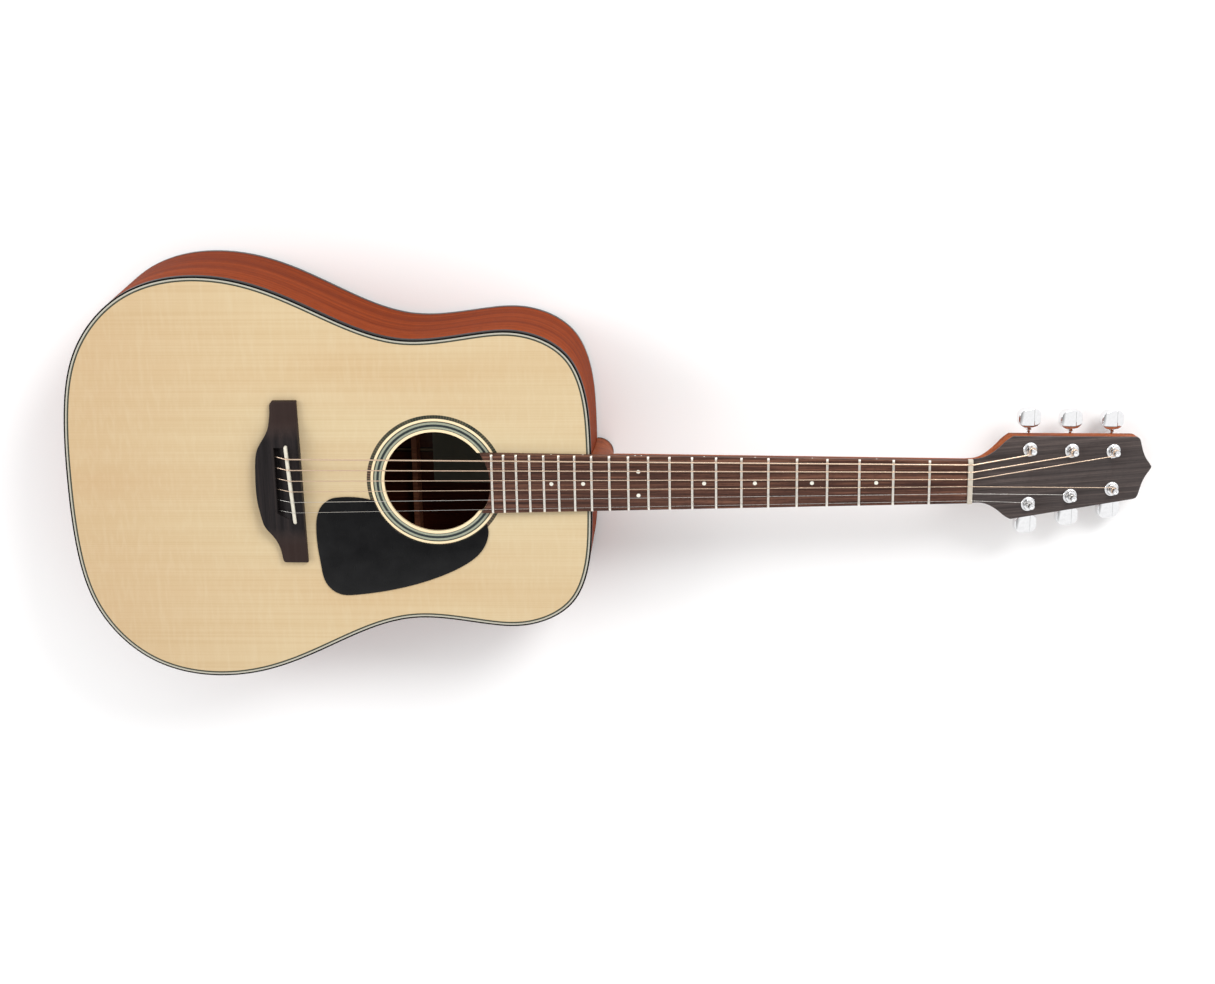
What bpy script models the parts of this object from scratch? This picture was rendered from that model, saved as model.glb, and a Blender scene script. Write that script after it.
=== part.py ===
"""A flat-top acoustic guitar lying on its back, +Z up, +X towards the headstock, +Y towards the bass side.

Everything is first laid out in the guitar's own frame: the soundboard's upper face is the plane z = 0, the
strings leave the nut at x = 0 and the bridge lies at negative x. The body is deeper at the tail than at the
neck, so one tilted parent, the empty "guitar", brings the flat back down onto z = 0. Units are metres.
"""

import math

import bmesh
import bpy
import numpy as np
from mathutils import Matrix, Vector

# Gaps
GAP = 0.0003  # between pieces that touch
STRING_GAP = 0.00012  # between a string and what it passes over

# Scale and fretboard
SCALE_LENGTH = 0.644
FRET_COUNT = 21
BODY_FRET = 14
NECK_ANGLE = math.radians(0.7)
BOARD_THICK = 0.006
BOARD_HALF_NUT = 0.02135
BOARD_WIDENING = 0.0185  # growth of the half width per unit of length
BOARD_RADIUS = 0.400
BOARD_END_RADIUS = 0.0532  # of the end's arc, about the sound hole's centre
FRET_HEIGHT = 0.0011
FRET_WIDTH = 0.0024
NUT_LENGTH = 0.0052
NUT_ABOVE_BOARD = 0.0022

# Body
TAIL_DEPTH = 0.124
NECK_DEPTH = 0.100
BODY_LENGTH = 0.5104
TOP_THICK = 0.0028
BACK_THICK = 0.0028
SIDE_THICK = 0.0023
BINDING_WIDE = 0.0016
TOP_BINDING_TALL = 0.0065
BACK_BINDING_TALL = 0.005
LINING_WIDE = 0.0065
LINING_TALL = 0.014
OUTLINE_POINTS = 120
# Right half of the outline: (distance from the tail, half width)
HALF_OUTLINE = (
    (0.0030, 0.0697), (0.0169, 0.1277), (0.0700, 0.1868), (0.1763, 0.1985), (0.2468, 0.1717), (0.3317, 0.1409),
    (0.4047, 0.1470), (0.4399, 0.1485), (0.4901, 0.1237), (0.5045, 0.0924), (0.5099, 0.0444),
)
HOLE_X = -0.5075
HOLE_RADIUS = 0.050
ROSETTE_RADIUS = 0.0668
ROSETTE_THICK = 0.0009
NOTCH_HALF = 0.0292  # the hole widens under the fretboard's end, between its sides
BLOCK_HALF = 0.038
NECK_BLOCK_LONG = 0.045
TAIL_BLOCK_LONG = 0.020
X_BRACE_CROSSING = -0.597
X_BRACE_ANGLE = math.radians(42)
X_BRACE_UPPER, X_BRACE_LOWER = 0.185, 0.250
BRACE_WIDE = 0.008
BRACE_TALL = 0.014
BACK_BRACES = ((-0.449, 0.136), (-0.541, 0.1295), (-0.700, 0.186))  # place along the body, half length

# Bridge, saddle and strings
BRIDGE_TALL = 0.0098
BRIDGE_WING_TALL = 0.0052
BRIDGE_SCOOP = (0.0435, 0.0640)  # where the top starts down to a wing, and where it arrives
BRIDGE_EDGE = 0.0009  # chamfer along the top
# Front edge and the belly behind, both from the bass side: (x, y)
BRIDGE_FRONT = ((-0.6378, 0.0820), (-0.6353, -0.0812))
BRIDGE_BELLY = (
    (-0.6610, 0.0820), (-0.6628, 0.0800), (-0.6637, 0.0740), (-0.6648, 0.0640), (-0.6675, 0.0520),
    (-0.6722, 0.0440), (-0.6772, 0.0350), (-0.6802, 0.0180), (-0.6808, 0.0050), (-0.6803, -0.0168),
    (-0.6775, -0.0330), (-0.6745, -0.0430), (-0.6690, -0.0510), (-0.6642, -0.0600), (-0.6614, -0.0680),
    (-0.6600, -0.0760), (-0.6588, -0.0800), (-0.6573, -0.0812),
)
SADDLE_ENDS = ((-0.6493, 0.0396), (-0.6442, -0.0396))
SADDLE_THICK = 0.0030
SADDLE_SEAT = 0.0040  # height of the slot's floor above the soundboard
RECESS_BACK = -0.6612
RECESS_Y = (-0.0345, 0.0372)
BALL_X = -0.6765
STRING_EXIT_Z = 0.0054
STRING_DIAMETERS = (0.00030, 0.00041, 0.00061, 0.00081, 0.00107, 0.00135)
NUT_SPACING = 0.0072
SADDLE_SPACING = 0.0109
ACTION = (0.0016, 0.0017, 0.0018, 0.0019, 0.0020, 0.0021)  # string above the twelfth fret
BALL_RADIUS = 0.0019

# Pickguard
GUARD_THICK = 0.0008
GUARD_RADIUS = 0.0640
GUARD_ANGLES = (197.0, 318.0)  # degrees about the sound hole's centre
GUARD_OUTLINE = (
    (-0.4586, -0.0470), (-0.4592, -0.0575), (-0.4665, -0.0718), (-0.4817, -0.0844), (-0.5070, -0.0968),
    (-0.5465, -0.1090), (-0.5912, -0.1161), (-0.6045, -0.1158), (-0.6130, -0.1115), (-0.6197, -0.1030),
    (-0.6235, -0.0850), (-0.6256, -0.0670), (-0.6261, -0.0488), (-0.6251, -0.0375), (-0.6228, -0.0298),
    (-0.6190, -0.0234), (-0.6149, -0.0199), (-0.6109, -0.0173), (-0.6030, -0.0156), (-0.5952, -0.0152),
    (-0.5874, -0.0154), (-0.5797, -0.0162),
)

# Neck and headstock
NECK_WOOD_NUT = 0.0150
NECK_WOOD_BODY = 0.0185
HEEL_CAP_LONG = 0.016
HEEL_CAP_HALF = 0.015
HEEL_FILLET = 0.046
HEEL_DEPTH = 0.0962
HEEL_CAP_THICK = 0.0024
TENON_HALF = 0.011
TENON_LONG = 0.018
TENON_Z = (-0.080, -0.0074)
SHAFT_POWER = 2.3  # of the superellipse across the neck
HEAD_ANGLE = NECK_ANGLE + math.radians(13.6)
HEAD_THICK = 0.0150
OVERLAY_THICK = 0.0020
# Half outline of the headstock along its face: (distance past the nut, half width)
HEAD_OUTLINE = (
    (0.000, 0.0218), (0.006, 0.0221), (0.011, 0.0230), (0.016, 0.0249), (0.021, 0.0278), (0.027, 0.0323),
    (0.033, 0.0376), (0.0393, 0.0414), (0.100, 0.0349), (0.1635, 0.0314), (0.1665, 0.0305), (0.1684, 0.0283),
    (0.1697, 0.0245), (0.1710, 0.0198), (0.1730, 0.0140), (0.1763, 0.0078), (0.1798, 0.0030), (0.1812, 0.0006),
)
ROD_WIDE, ROD_TALL = 0.0060, 0.0060
ROD_NUT_END, ROD_BODY_END = -0.008, -0.377
ROD_DEPTH_NUT, ROD_DEPTH_BODY = 0.0012, 0.0078  # of the rod's top under the fretboard
ROD_NUT_LONG, ROD_NUT_RADIUS = 0.013, 0.0043

# Tuners, in the headstock's plane: (distance past the nut, distance from the centre line)
TUNER_SEATS = ((0.0565, 0.0272), (0.0989, 0.0227), (0.1413, 0.0190))
POST_RADIUS = 0.0030
POST_WAIST = 0.0025
POST_TOP = 0.0105
POST_HOLE_Z = 0.0072
POST_HOLE_RADIUS = 0.0009
BUSHING_WASHER_RADIUS = 0.0072
BUSHING_HEX = 0.0050  # across flats, halved
BUSHING_SLEEVE = 0.0041
HEAD_BORE = 0.0045
HOUSING_LONG, HOUSING_WIDE, HOUSING_TALL = 0.0180, 0.0170, 0.0086
HOUSING_WALL = 0.0012
WHEEL_TEETH = 14
WHEEL_PITCH = 0.001459  # arc between teeth, and the worm's axial pitch
WHEEL_RADIUS = WHEEL_TEETH * WHEEL_PITCH / (2 * math.pi)
WORM_RADIUS = 0.0022
WORM_OFFSET = WHEEL_RADIUS + WORM_RADIUS
TOOTH_TALL = 0.00036  # above and below the pitch line
TOOTH_FACE = 0.0022
WORM_SIDES = 8
WORM_TURNS = 3
THREAD_PHASE = (WORM_SIDES / 2 + 0.5) / WORM_SIDES  # of a pitch, where the thread faces the wheel
SHAFT_RADIUS = 0.0016
BUTTON_INNER, BUTTON_OUTER = 0.0165, 0.0350  # from the post's axis
BUTTON_WIDE, BUTTON_THICK = 0.0232, 0.0088
WORM_Z = -HEAD_THICK - 0.0047

# End pin
PIN_HEAD_RADIUS, PIN_OUT, PIN_SHANK = 0.0072, 0.0125, 0.0035

NECK_EDGE = -SCALE_LENGTH * (1 - 2 ** (-BODY_FRET / 12))  # where the body meets the neck
TAIL_EDGE = NECK_EDGE - BODY_LENGTH
DEPTH_SLOPE = (TAIL_DEPTH - NECK_DEPTH) / BODY_LENGTH
BACK_TILT = math.atan(DEPTH_SLOPE)
WOOD_TOP_NUT = math.tan(NECK_ANGLE) * NECK_EDGE  # height of the neck's wood under the nut
HEAD_ORIGIN = Vector((NUT_LENGTH, 0.0, WOOD_TOP_NUT + (OVERLAY_THICK + GAP) * math.cos(HEAD_ANGLE)))
PIN_Z = -0.062
ROW_CENTRE_X = -0.35193  # middle of the whole length, which becomes x = 0


def back_z(x):
    """Height of the back's outer face under x."""
    return -NECK_DEPTH + DEPTH_SLOPE * (x - NECK_EDGE)


def board_bottom(x):
    """Height of the fretboard's underside: it follows the neck, then lies on the soundboard."""
    return GAP + math.tan(NECK_ANGLE) * min(0.0, NECK_EDGE - x)


def board_top(x, y=0.0):
    return GAP + BOARD_THICK - math.tan(NECK_ANGLE) * (x - NECK_EDGE) - y * y / (2 * BOARD_RADIUS)


def board_half(x):
    return BOARD_HALF_NUT - BOARD_WIDENING * x


def fret_x(number):
    return -SCALE_LENGTH * (1 - 2 ** (-number / 12))


# ---------------------------------------------------------------- helpers


def clear_scene():
    for obj in list(bpy.data.objects):
        bpy.data.objects.remove(obj, do_unlink=True)


def empty(name, matrix, parent=None):
    obj = bpy.data.objects.new(name, None)
    bpy.context.scene.collection.objects.link(obj)
    obj.parent = parent
    obj.matrix_local = matrix
    return obj


def material(name, colour, roughness, metallic=0.0):
    made = bpy.data.materials.get(name)
    if made is None:
        made = bpy.data.materials.new(name)
        made.use_nodes = True
        shader = made.node_tree.nodes["Principled BSDF"]
        shader.inputs["Base Color"].default_value = (*colour, 1.0)
        shader.inputs["Roughness"].default_value = roughness
        shader.inputs["Metallic"].default_value = metallic
    return made


MATERIALS = {
    "spruce": ((0.72, 0.56, 0.33), 0.25),
    "dark_wood": ((0.24, 0.07, 0.03), 0.25),
    "mahogany": ((0.35, 0.12, 0.05), 0.35),
    "rosewood": ((0.06, 0.035, 0.028), 0.45),
    "brace_spruce": ((0.60, 0.43, 0.24), 0.7),
    "black_plastic": ((0.012, 0.012, 0.012), 0.2),
    "bone": ((0.80, 0.78, 0.68), 0.35),
    "shell_inlay": ((0.45, 0.45, 0.38), 0.3),
    "chrome": ((0.80, 0.80, 0.82), 0.08, 1.0),
    "steel": ((0.55, 0.55, 0.55), 0.3, 1.0),
    "bronze": ((0.60, 0.38, 0.20), 0.35, 1.0),
}


def finish(obj, look, smooth=False):
    obj.data.materials.clear()
    obj.data.materials.append(material(look, *MATERIALS[look]))
    if smooth:
        obj.data.shade_smooth()
        obj.data.set_sharp_from_angle(angle=math.radians(35))
    return obj


def mesh_object(name, verts, faces, parent, look=None, smooth=False):
    mesh = bpy.data.meshes.new(name)
    mesh.from_pydata([tuple(v) for v in verts], [], faces)
    build = bmesh.new()
    build.from_mesh(mesh)
    bmesh.ops.recalc_face_normals(build, faces=build.faces)
    build.to_mesh(mesh)
    build.free()
    obj = bpy.data.objects.new(name, mesh)
    bpy.context.scene.collection.objects.link(obj)
    obj.parent = parent
    return finish(obj, look, smooth) if look else obj


def loft(name, rings, parent, look=None, smooth=False, closed=False):
    """Skins equal rings of points one after another; the ends are capped unless the loft closes on itself."""
    size = len(rings[0])
    verts = [v for ring in rings for v in ring]
    faces = []
    for r in range(len(rings) if closed else len(rings) - 1):
        a, b = r * size, ((r + 1) % len(rings)) * size
        for i in range(size):
            j = (i + 1) % size
            faces.append((a + i, a + j, b + j, b + i))
    if not closed:
        faces.append(tuple(range(size)))
        faces.append(tuple(range(len(verts) - size, len(verts))))
    return mesh_object(name, verts, faces, parent, look, smooth)


def prism(name, outline, low, high, parent, look=None):
    """An outline in x and y between two heights, which may be functions of x."""
    low_z = low if callable(low) else lambda x: low
    high_z = high if callable(high) else lambda x: high
    rings = [[(x, y, z(x)) for x, y in outline] for z in (low_z, high_z)]
    return loft(name, rings, parent, look)


def turned(name, profile, sides, parent, look=None, matrix=None):
    """A profile of (radius, height) turned about the local Z axis; it starts and ends on the axis or is a tube."""
    rings = []
    for radius, height in profile:
        angles = [2 * math.pi * i / sides for i in range(sides)]
        rings.append([(radius * math.cos(a), radius * math.sin(a), height) for a in angles])
    obj = loft(name, rings, parent, look, smooth=True)
    if matrix is not None:
        obj.matrix_local = matrix
    return obj


def tube(name, profile, sides, parent, look=None, matrix=None):
    """A closed profile that stays off the axis, turned about local Z."""
    rings = []
    for i in range(sides):
        a = 2 * math.pi * i / sides
        rings.append([(r * math.cos(a), r * math.sin(a), z) for r, z in profile])
    obj = loft(name, rings, parent, look, smooth=True, closed=True)
    if matrix is not None:
        obj.matrix_local = matrix
    return obj


def box(name, low, high, parent, look=None, matrix=None):
    corners = [(x, y) for x, y in ((low[0], low[1]), (high[0], low[1]), (high[0], high[1]), (low[0], high[1]))]
    obj = prism(name, corners, low[2], high[2], parent, look)
    if matrix is not None:
        obj.matrix_local = matrix
    return obj


def boolean(target, tool, operation="DIFFERENCE"):
    step = target.modifiers.new(tool.name, "BOOLEAN")
    step.operation = operation
    step.solver = "EXACT"
    step.object = tool
    tool.hide_render = True
    tool.display_type = "WIRE"


def bevel(obj, width, segments=1, angle=40):
    step = obj.modifiers.new("edge", "BEVEL")
    step.width = width
    step.segments = segments
    step.limit_method = "ANGLE"
    step.angle_limit = math.radians(angle)
    return obj


# ---------------------------------------------------------------- outlines


def closed_spline(knots, per_span=24):
    """A dense smooth closed curve through the knots, a cubic in chord length."""
    p = np.array(knots, float)
    n = len(p)
    h = np.linalg.norm(np.roll(p, -1, axis=0) - p, axis=1)
    system, right = np.zeros((n, n)), np.zeros((n, 2))
    for i in range(n):
        after = (i + 1) % n
        system[i, i - 1] += h[i - 1]
        system[i, i] += 2 * (h[i - 1] + h[i])
        system[i, after] += h[i]
        right[i] = 6 * ((p[after] - p[i]) / h[i] - (p[i] - p[i - 1]) / h[i - 1])
    bend = np.linalg.solve(system, right)
    dense = []
    for i in range(n):
        after = (i + 1) % n
        for t in np.arange(per_span) / per_span * h[i]:
            s = h[i] - t
            dense.append(
                (bend[i] * s**3 + bend[after] * t**3) / (6 * h[i])
                + (p[i] / h[i] - bend[i] * h[i] / 6) * s
                + (p[after] / h[i] - bend[after] * h[i] / 6) * t
            )
    return np.array(dense)


def spaced(curve, count):
    """The closed curve resampled to evenly spaced points, starting at its first point."""
    loop = np.vstack([curve, curve[:1]])
    along = np.concatenate([[0], np.cumsum(np.linalg.norm(np.diff(loop, axis=0), axis=1))])
    at = np.linspace(0, along[-1], count + 1)[:-1]
    return np.column_stack([np.interp(at, along, loop[:, k]) for k in (0, 1)])


def body_outline(inset=0.0, count=OUTLINE_POINTS):
    """The body's outline moved inwards: first the tail's centre, then along the bass side to the neck and back."""
    half = [(TAIL_EDGE + distance, width) for distance, width in HALF_OUTLINE]
    knots = [(TAIL_EDGE, 0.0), *half, (NECK_EDGE, 0.0), *((x, -y) for x, y in reversed(half))]
    points = spaced(closed_spline(knots), count)
    run = np.roll(points, -1, axis=0) - np.roll(points, 1, axis=0)
    inward = np.column_stack([run[:, 1], -run[:, 0]]) / np.linalg.norm(run, axis=1)[:, None]
    return points + inset * inward


def wall(name, outer_inset, inner_inset, low, high, parent, look):
    """A ring that follows the outline, between two insets and two heights that may be functions of x."""
    low_z = low if callable(low) else lambda x: low
    high_z = high if callable(high) else lambda x: high
    rings = [
        [(a[0], a[1], low_z(a[0])), (a[0], a[1], high_z(a[0])), (b[0], b[1], high_z(b[0])), (b[0], b[1], low_z(b[0]))]
        for a, b in zip(body_outline(outer_inset), body_outline(inner_inset))
    ]
    return loft(name, rings, parent, look, closed=True)


def strip(name, insets, low, high, neck_y, parent, look, hand=0, tail_y=0.0):
    """Such a ring from tail_y to neck_y on the side that hand points to or, with no hand, on both sides in one."""
    low_z = low if callable(low) else lambda x: low
    high_z = high if callable(high) else lambda x: high
    middle = (TAIL_EDGE + NECK_EDGE) / 2
    half = []
    for inset in insets:
        line = body_outline(inset)[: OUTLINE_POINTS // 2 + 1]
        kept = [tuple(p) for p in line if p[0] < middle or p[1] > neck_y]
        before, after = line[len(kept) - 1], line[len(kept)]
        share = (before[1] - neck_y) / (before[1] - after[1])
        half.append([(kept[0][0], tail_y), *kept[1:], (before[0] + share * (after[0] - before[0]), neck_y)])
    pairs = list(zip(*half))
    if hand:
        pairs = [[(x, hand * y) for x, y in pair] for pair in pairs]
    else:
        pairs = [[(x, -y) for x, y in pair] for pair in pairs[:0:-1]] + pairs
    rings = [[(*a, low_z(a[0])), (*a, high_z(a[0])), (*b, high_z(b[0])), (*b, low_z(b[0]))] for a, b in pairs]
    return loft(name, rings, parent, look)


def brace(name, start, end, width, tall, base, sign, parent):
    """A straight brace glued along base(x), growing by sign, with a narrow crown and ends that run down low."""
    a, b = Vector(start), Vector(end)
    along = (b - a).normalized()
    across = Vector((-along.y, along.x))
    length = (b - a).length
    rings = []
    for share, height in ((0.0, 0.3), (0.16, 1.0), (0.84, 1.0), (1.0, 0.3)):
        centre = a + along * length * share
        ring = []
        for side, level in ((-0.5, 0.0), (0.5, 0.0), (0.28, height), (-0.28, height)):
            p = centre + across * side * width
            ring.append((p.x, p.y, base(p.x) + sign * level * tall))
        rings.append(ring)
    return loft(name, rings, parent, "brace_spruce")


# ---------------------------------------------------------------- body


def make_body(root):
    under_top = -TOP_THICK - GAP
    plate = BINDING_WIDE + GAP
    soundboard = prism("soundboard", body_outline(plate), -TOP_THICK, 0.0, root, "spruce")
    hole_at = Matrix.Translation((HOLE_X, 0, 0))
    for name, radius, low in (
        ("hole_cutter", HOLE_RADIUS, -0.01),
        ("rosette_cutter", ROSETTE_RADIUS + GAP, -ROSETTE_THICK - GAP),
    ):
        tool = turned(name, ((radius, low), (radius, 0.01)), 96, root, matrix=hole_at)
        boolean(soundboard, tool)
    ring = (
        (HOLE_RADIUS + 0.0001, -ROSETTE_THICK), (ROSETTE_RADIUS, -ROSETTE_THICK),
        (ROSETTE_RADIUS, 0.0), (HOLE_RADIUS + 0.0001, 0.0),
    )
    rosette = tube("rosette", ring, 96, root, "shell_inlay", hole_at)
    notch = hole_notch(root)
    boolean(soundboard, notch)
    boolean(rosette, notch)

    inside_back = lambda x: back_z(x) + BACK_THICK + GAP
    prism("back", body_outline(plate), back_z, lambda x: back_z(x) + BACK_THICK, root, "dark_wood")
    wall("top_binding", 0, BINDING_WIDE, -TOP_BINDING_TALL, 0.0, root, "black_plastic")
    wall("back_binding", 0, BINDING_WIDE, back_z, lambda x: back_z(x) + BACK_BINDING_TALL, root, "black_plastic")

    side_low = lambda x: back_z(x) + BACK_BINDING_TALL + GAP
    side_high = -TOP_BINDING_TALL - GAP
    pin_bore = turned("pin_bore", ((PIN_SHANK + 0.00005, -0.04), (PIN_SHANK + 0.00005, 0.01)), 16, root,
                      matrix=pin_frame())
    sides = []
    for name, hand in (("side_bass", 1), ("side_treble", -1)):
        side = strip(name, (0, SIDE_THICK), side_low, side_high, TENON_HALF + GAP, root, "dark_wood", hand, GAP / 2)
        boolean(side, pin_bore)
        sides.append(side)

    lining = (SIDE_THICK + GAP, SIDE_THICK + GAP + LINING_WIDE)
    strip("top_lining", lining, under_top - LINING_TALL, under_top, BLOCK_HALF + GAP, root, "mahogany")
    strip("back_lining", lining, inside_back, lambda x: inside_back(x) + LINING_TALL, BLOCK_HALF + GAP, root,
          "mahogany")

    block_face = NECK_EDGE - SIDE_THICK - 0.0009
    block = [(block_face - NECK_BLOCK_LONG, -BLOCK_HALF), (block_face, -BLOCK_HALF),
             (block_face, BLOCK_HALF), (block_face - NECK_BLOCK_LONG, BLOCK_HALF)]
    neck_block = prism("neck_block", block, inside_back, under_top, root, "mahogany")
    mortise = box("mortise_cutter", (NECK_EDGE - TENON_LONG - GAP, -TENON_HALF - GAP, TENON_Z[0] - GAP),
                  (NECK_EDGE, TENON_HALF + GAP, TENON_Z[1] + GAP), root)
    boolean(neck_block, mortise)
    passage = box("rod_passage", (block_face - NECK_BLOCK_LONG - 0.01, -0.0055, -0.0165), (NECK_EDGE, 0.0055, 0.0),
                  root)
    boolean(neck_block, passage)

    face = TAIL_EDGE + SIDE_THICK + GAP + 0.0009
    low = lambda x: inside_back(x) + LINING_TALL + GAP
    tail = [(face, -BLOCK_HALF), (face + TAIL_BLOCK_LONG, -BLOCK_HALF),
            (face + TAIL_BLOCK_LONG, BLOCK_HALF), (face, BLOCK_HALF)]
    tail_block = prism("tail_block", tail, low, under_top - LINING_TALL - GAP, root, "mahogany")
    boolean(tail_block, pin_bore)
    make_braces(root, under_top, inside_back)


def hole_notch(root):
    """Cutter that takes the hole out to the arc of the fretboard's end, between the board's sides."""
    reach = math.asin(NOTCH_HALF / BOARD_END_RADIUS)
    steps = 16
    angles = [reach * (2 * k / steps - 1) for k in range(steps + 1)]
    outline = [(HOLE_X + BOARD_END_RADIUS * math.cos(a), BOARD_END_RADIUS * math.sin(a)) for a in angles]
    inside = HOLE_X + HOLE_RADIUS / 2
    return prism("hole_notch", outline + [(inside, NOTCH_HALF), (inside, -NOTCH_HALF)], -0.01, 0.01, root)


def make_braces(root, under_top, inside_back):
    top = lambda x: under_top
    legs = []
    for name, hand in (("x_brace_bass", 1), ("x_brace_treble", -1)):
        run = Vector((math.cos(X_BRACE_ANGLE), -hand * math.sin(X_BRACE_ANGLE)))
        middle = Vector((X_BRACE_CROSSING, 0))
        legs.append(brace(name, middle + run * X_BRACE_UPPER, middle - run * X_BRACE_LOWER,
                          BRACE_WIDE, BRACE_TALL, top, -1, root))
    # The two legs cross in a half lap: each is notched over the other's width.
    notch = BRACE_WIDE / 2 + GAP
    for leg, hand, low, high in (
        (legs[0], -1, under_top - BRACE_TALL / 2 - GAP, under_top + 0.002),
        (legs[1], 1, under_top - BRACE_TALL - 0.002, under_top - BRACE_TALL / 2),
    ):
        turn = Matrix.Translation((X_BRACE_CROSSING, 0, 0)) @ Matrix.Rotation(-hand * X_BRACE_ANGLE, 4, "Z")
        boolean(leg, box(leg.name + "_lap", (-0.05, -notch, low), (0.05, notch, high), root, matrix=turn))
    brace("transverse_brace", (-0.433, -0.131), (-0.433, 0.131), 0.011, 0.016, top, -1, root)
    brace("tone_bar", (-0.712, 0.072), (-0.785, -0.100), 0.007, 0.011, top, -1, root)
    plate = [(-0.634, -0.024), (-0.634, 0.024), (-0.692, 0.076), (-0.692, -0.076)]
    prism("bridge_plate", plate, under_top - 0.0025, under_top, root, "brace_spruce")
    for number, (x, half) in enumerate(BACK_BRACES, 1):
        brace(f"back_brace_{number}", (x, -half), (x, half), 0.009, 0.013, inside_back, 1, root)


def pin_frame():
    """Local +Z runs out of the tail along the end pin."""
    return Matrix.Translation((TAIL_EDGE, 0, PIN_Z)) @ Matrix.Rotation(-math.pi / 2, 4, "Y")


def make_end_pin(root):
    profile = (
        (0.0024, -0.020), (0.0030, -0.0195), (0.0034, 0.0000), (0.0034, GAP), (0.0066, GAP), (0.0070, 0.0012),
        (0.0066, 0.0024), (0.0044, 0.0036), (0.0040, 0.0060), (0.0046, 0.0082), (0.0066, 0.0096),
        (PIN_HEAD_RADIUS, 0.0108), (0.0068, 0.0121), (0.0058, PIN_OUT),
    )
    turned("end_pin", profile, 16, root, "black_plastic", pin_frame())


# ---------------------------------------------------------------- neck


def section(origin, along, half, top_drop, depth, power, outline=None, points=6):
    """One ring of the neck: a flat top and a rounded underside. outline(d) may give a half width of its own."""
    up = Vector((-along.z, 0, along.x))
    right = []
    for k in range(points + 1):
        d = depth * math.sin(0.5 * math.pi * k / points)
        share = d / depth
        y = outline(d) if outline else half * max(0.0, 1 - share**power) ** (1 / power)
        right.append((max(y, 0.0012 if k == points else 0.0), d))
    ring = [origin + Vector((0, y, 0)) - up * (top_drop + d) for y, d in right]
    return ring + [origin + Vector((0, -y, 0)) - up * (top_drop + d) for y, d in reversed(right)]


def heel_half(x, d, half):
    """Half width of the neck near the body, at the depth d under its top."""
    shaft = half * (1 - (d / NECK_WOOD_BODY) ** SHAFT_POWER) ** (1 / SHAFT_POWER) if d < NECK_WOOD_BODY else 0.0
    face_half = HEEL_CAP_HALF + (half - HEEL_CAP_HALF) * (1 - d / HEEL_DEPTH) ** 1.6
    rise = (HEEL_DEPTH - d) / (HEEL_DEPTH - NECK_WOOD_BODY)
    reach = HEEL_CAP_LONG + HEEL_FILLET * (1 - math.sqrt(max(0.0, 1 - min(rise, 1.0) ** 2)))
    out = (x - NECK_EDGE) / reach
    heel = face_half * math.sqrt(max(0.0, 1 - out * out)) if out < 1 else 0.0
    return max(shaft, heel)


def make_neck(root, head):
    rings = []
    straight = Vector((math.cos(NECK_ANGLE), 0, -math.sin(NECK_ANGLE)))
    level = Vector((1, 0, 0))
    heel_front = NECK_EDGE + HEEL_CAP_LONG
    steps = 7
    places = [NECK_EDGE + GAP, NECK_EDGE + 0.006, NECK_EDGE + 0.012]
    places += [heel_front + HEEL_FILLET * (1 - math.cos(0.5 * math.pi * s / steps)) for s in range(steps + 1)]
    for x in places:
        turn = min(1.0, max(0.0, (x - heel_front) / HEEL_FILLET))
        drop = HEEL_DEPTH - (HEEL_DEPTH - NECK_WOOD_BODY) * math.sqrt(1 - (1 - turn) ** 2)
        half = board_half(x)
        top = board_bottom(x) - GAP
        depth = drop + top
        outline = lambda d, x=x, half=half: heel_half(x, d, half)
        rings.append(section(Vector((x, 0, top)), level, half, 0, depth, SHAFT_POWER, outline))
    for x in (-0.270, -0.200, -0.130, -0.060, -0.015, -0.003):
        share = x / (heel_front + HEEL_FILLET)
        depth = NECK_WOOD_NUT + (NECK_WOOD_BODY - NECK_WOOD_NUT) * share
        rings.append(section(Vector((x, 0, board_bottom(x) - GAP)), straight, board_half(x), 0, depth,
                             SHAFT_POWER))
    outward = Vector((math.cos(HEAD_ANGLE), 0, -math.sin(HEAD_ANGLE)))
    wood = HEAD_THICK - OVERLAY_THICK - GAP
    for u, half in HEAD_OUTLINE:
        square = min(1.0, u / 0.036)
        power = 2.6 + 16 * square**2
        origin = HEAD_ORIGIN + outward * u
        rings.append(section(origin, outward, half, OVERLAY_THICK + GAP, wood, power))
    neck = loft("neck", rings, root, "mahogany", smooth=True)
    tenon = box("tenon", (NECK_EDGE - TENON_LONG, -TENON_HALF, TENON_Z[0]),
                (NECK_EDGE + 0.004, TENON_HALF, TENON_Z[1]), root)
    boolean(neck, tenon, "UNION")
    rod_low, rod_matrix = rod_place()
    channel = box("rod_channel", (ROD_BODY_END - 0.01, -ROD_WIDE / 2 - GAP, rod_low - GAP),
                  (ROD_NUT_END + GAP, ROD_WIDE / 2 + GAP, 0.012), root, matrix=rod_matrix)
    boolean(neck, channel)
    for seat in tuner_seats():
        bore = turned(f"bore_{seat[0]}", ((HEAD_BORE, -0.03), (HEAD_BORE, 0.01)), 12, head,
                      matrix=Matrix.Translation((seat[1], seat[2], 0)))
        boolean(neck, bore)


def rod_place():
    """Height of the rod's underside in its own frame, and that frame."""
    top_nut = board_bottom(ROD_NUT_END) - ROD_DEPTH_NUT
    top_body = board_bottom(NECK_EDGE) - ROD_DEPTH_BODY
    slope = math.atan((top_body - top_nut) / (ROD_NUT_END - NECK_EDGE))
    return -ROD_TALL, Matrix.Translation((0, 0, top_nut)) @ Matrix.Rotation(slope, 4, "Y")


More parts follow.
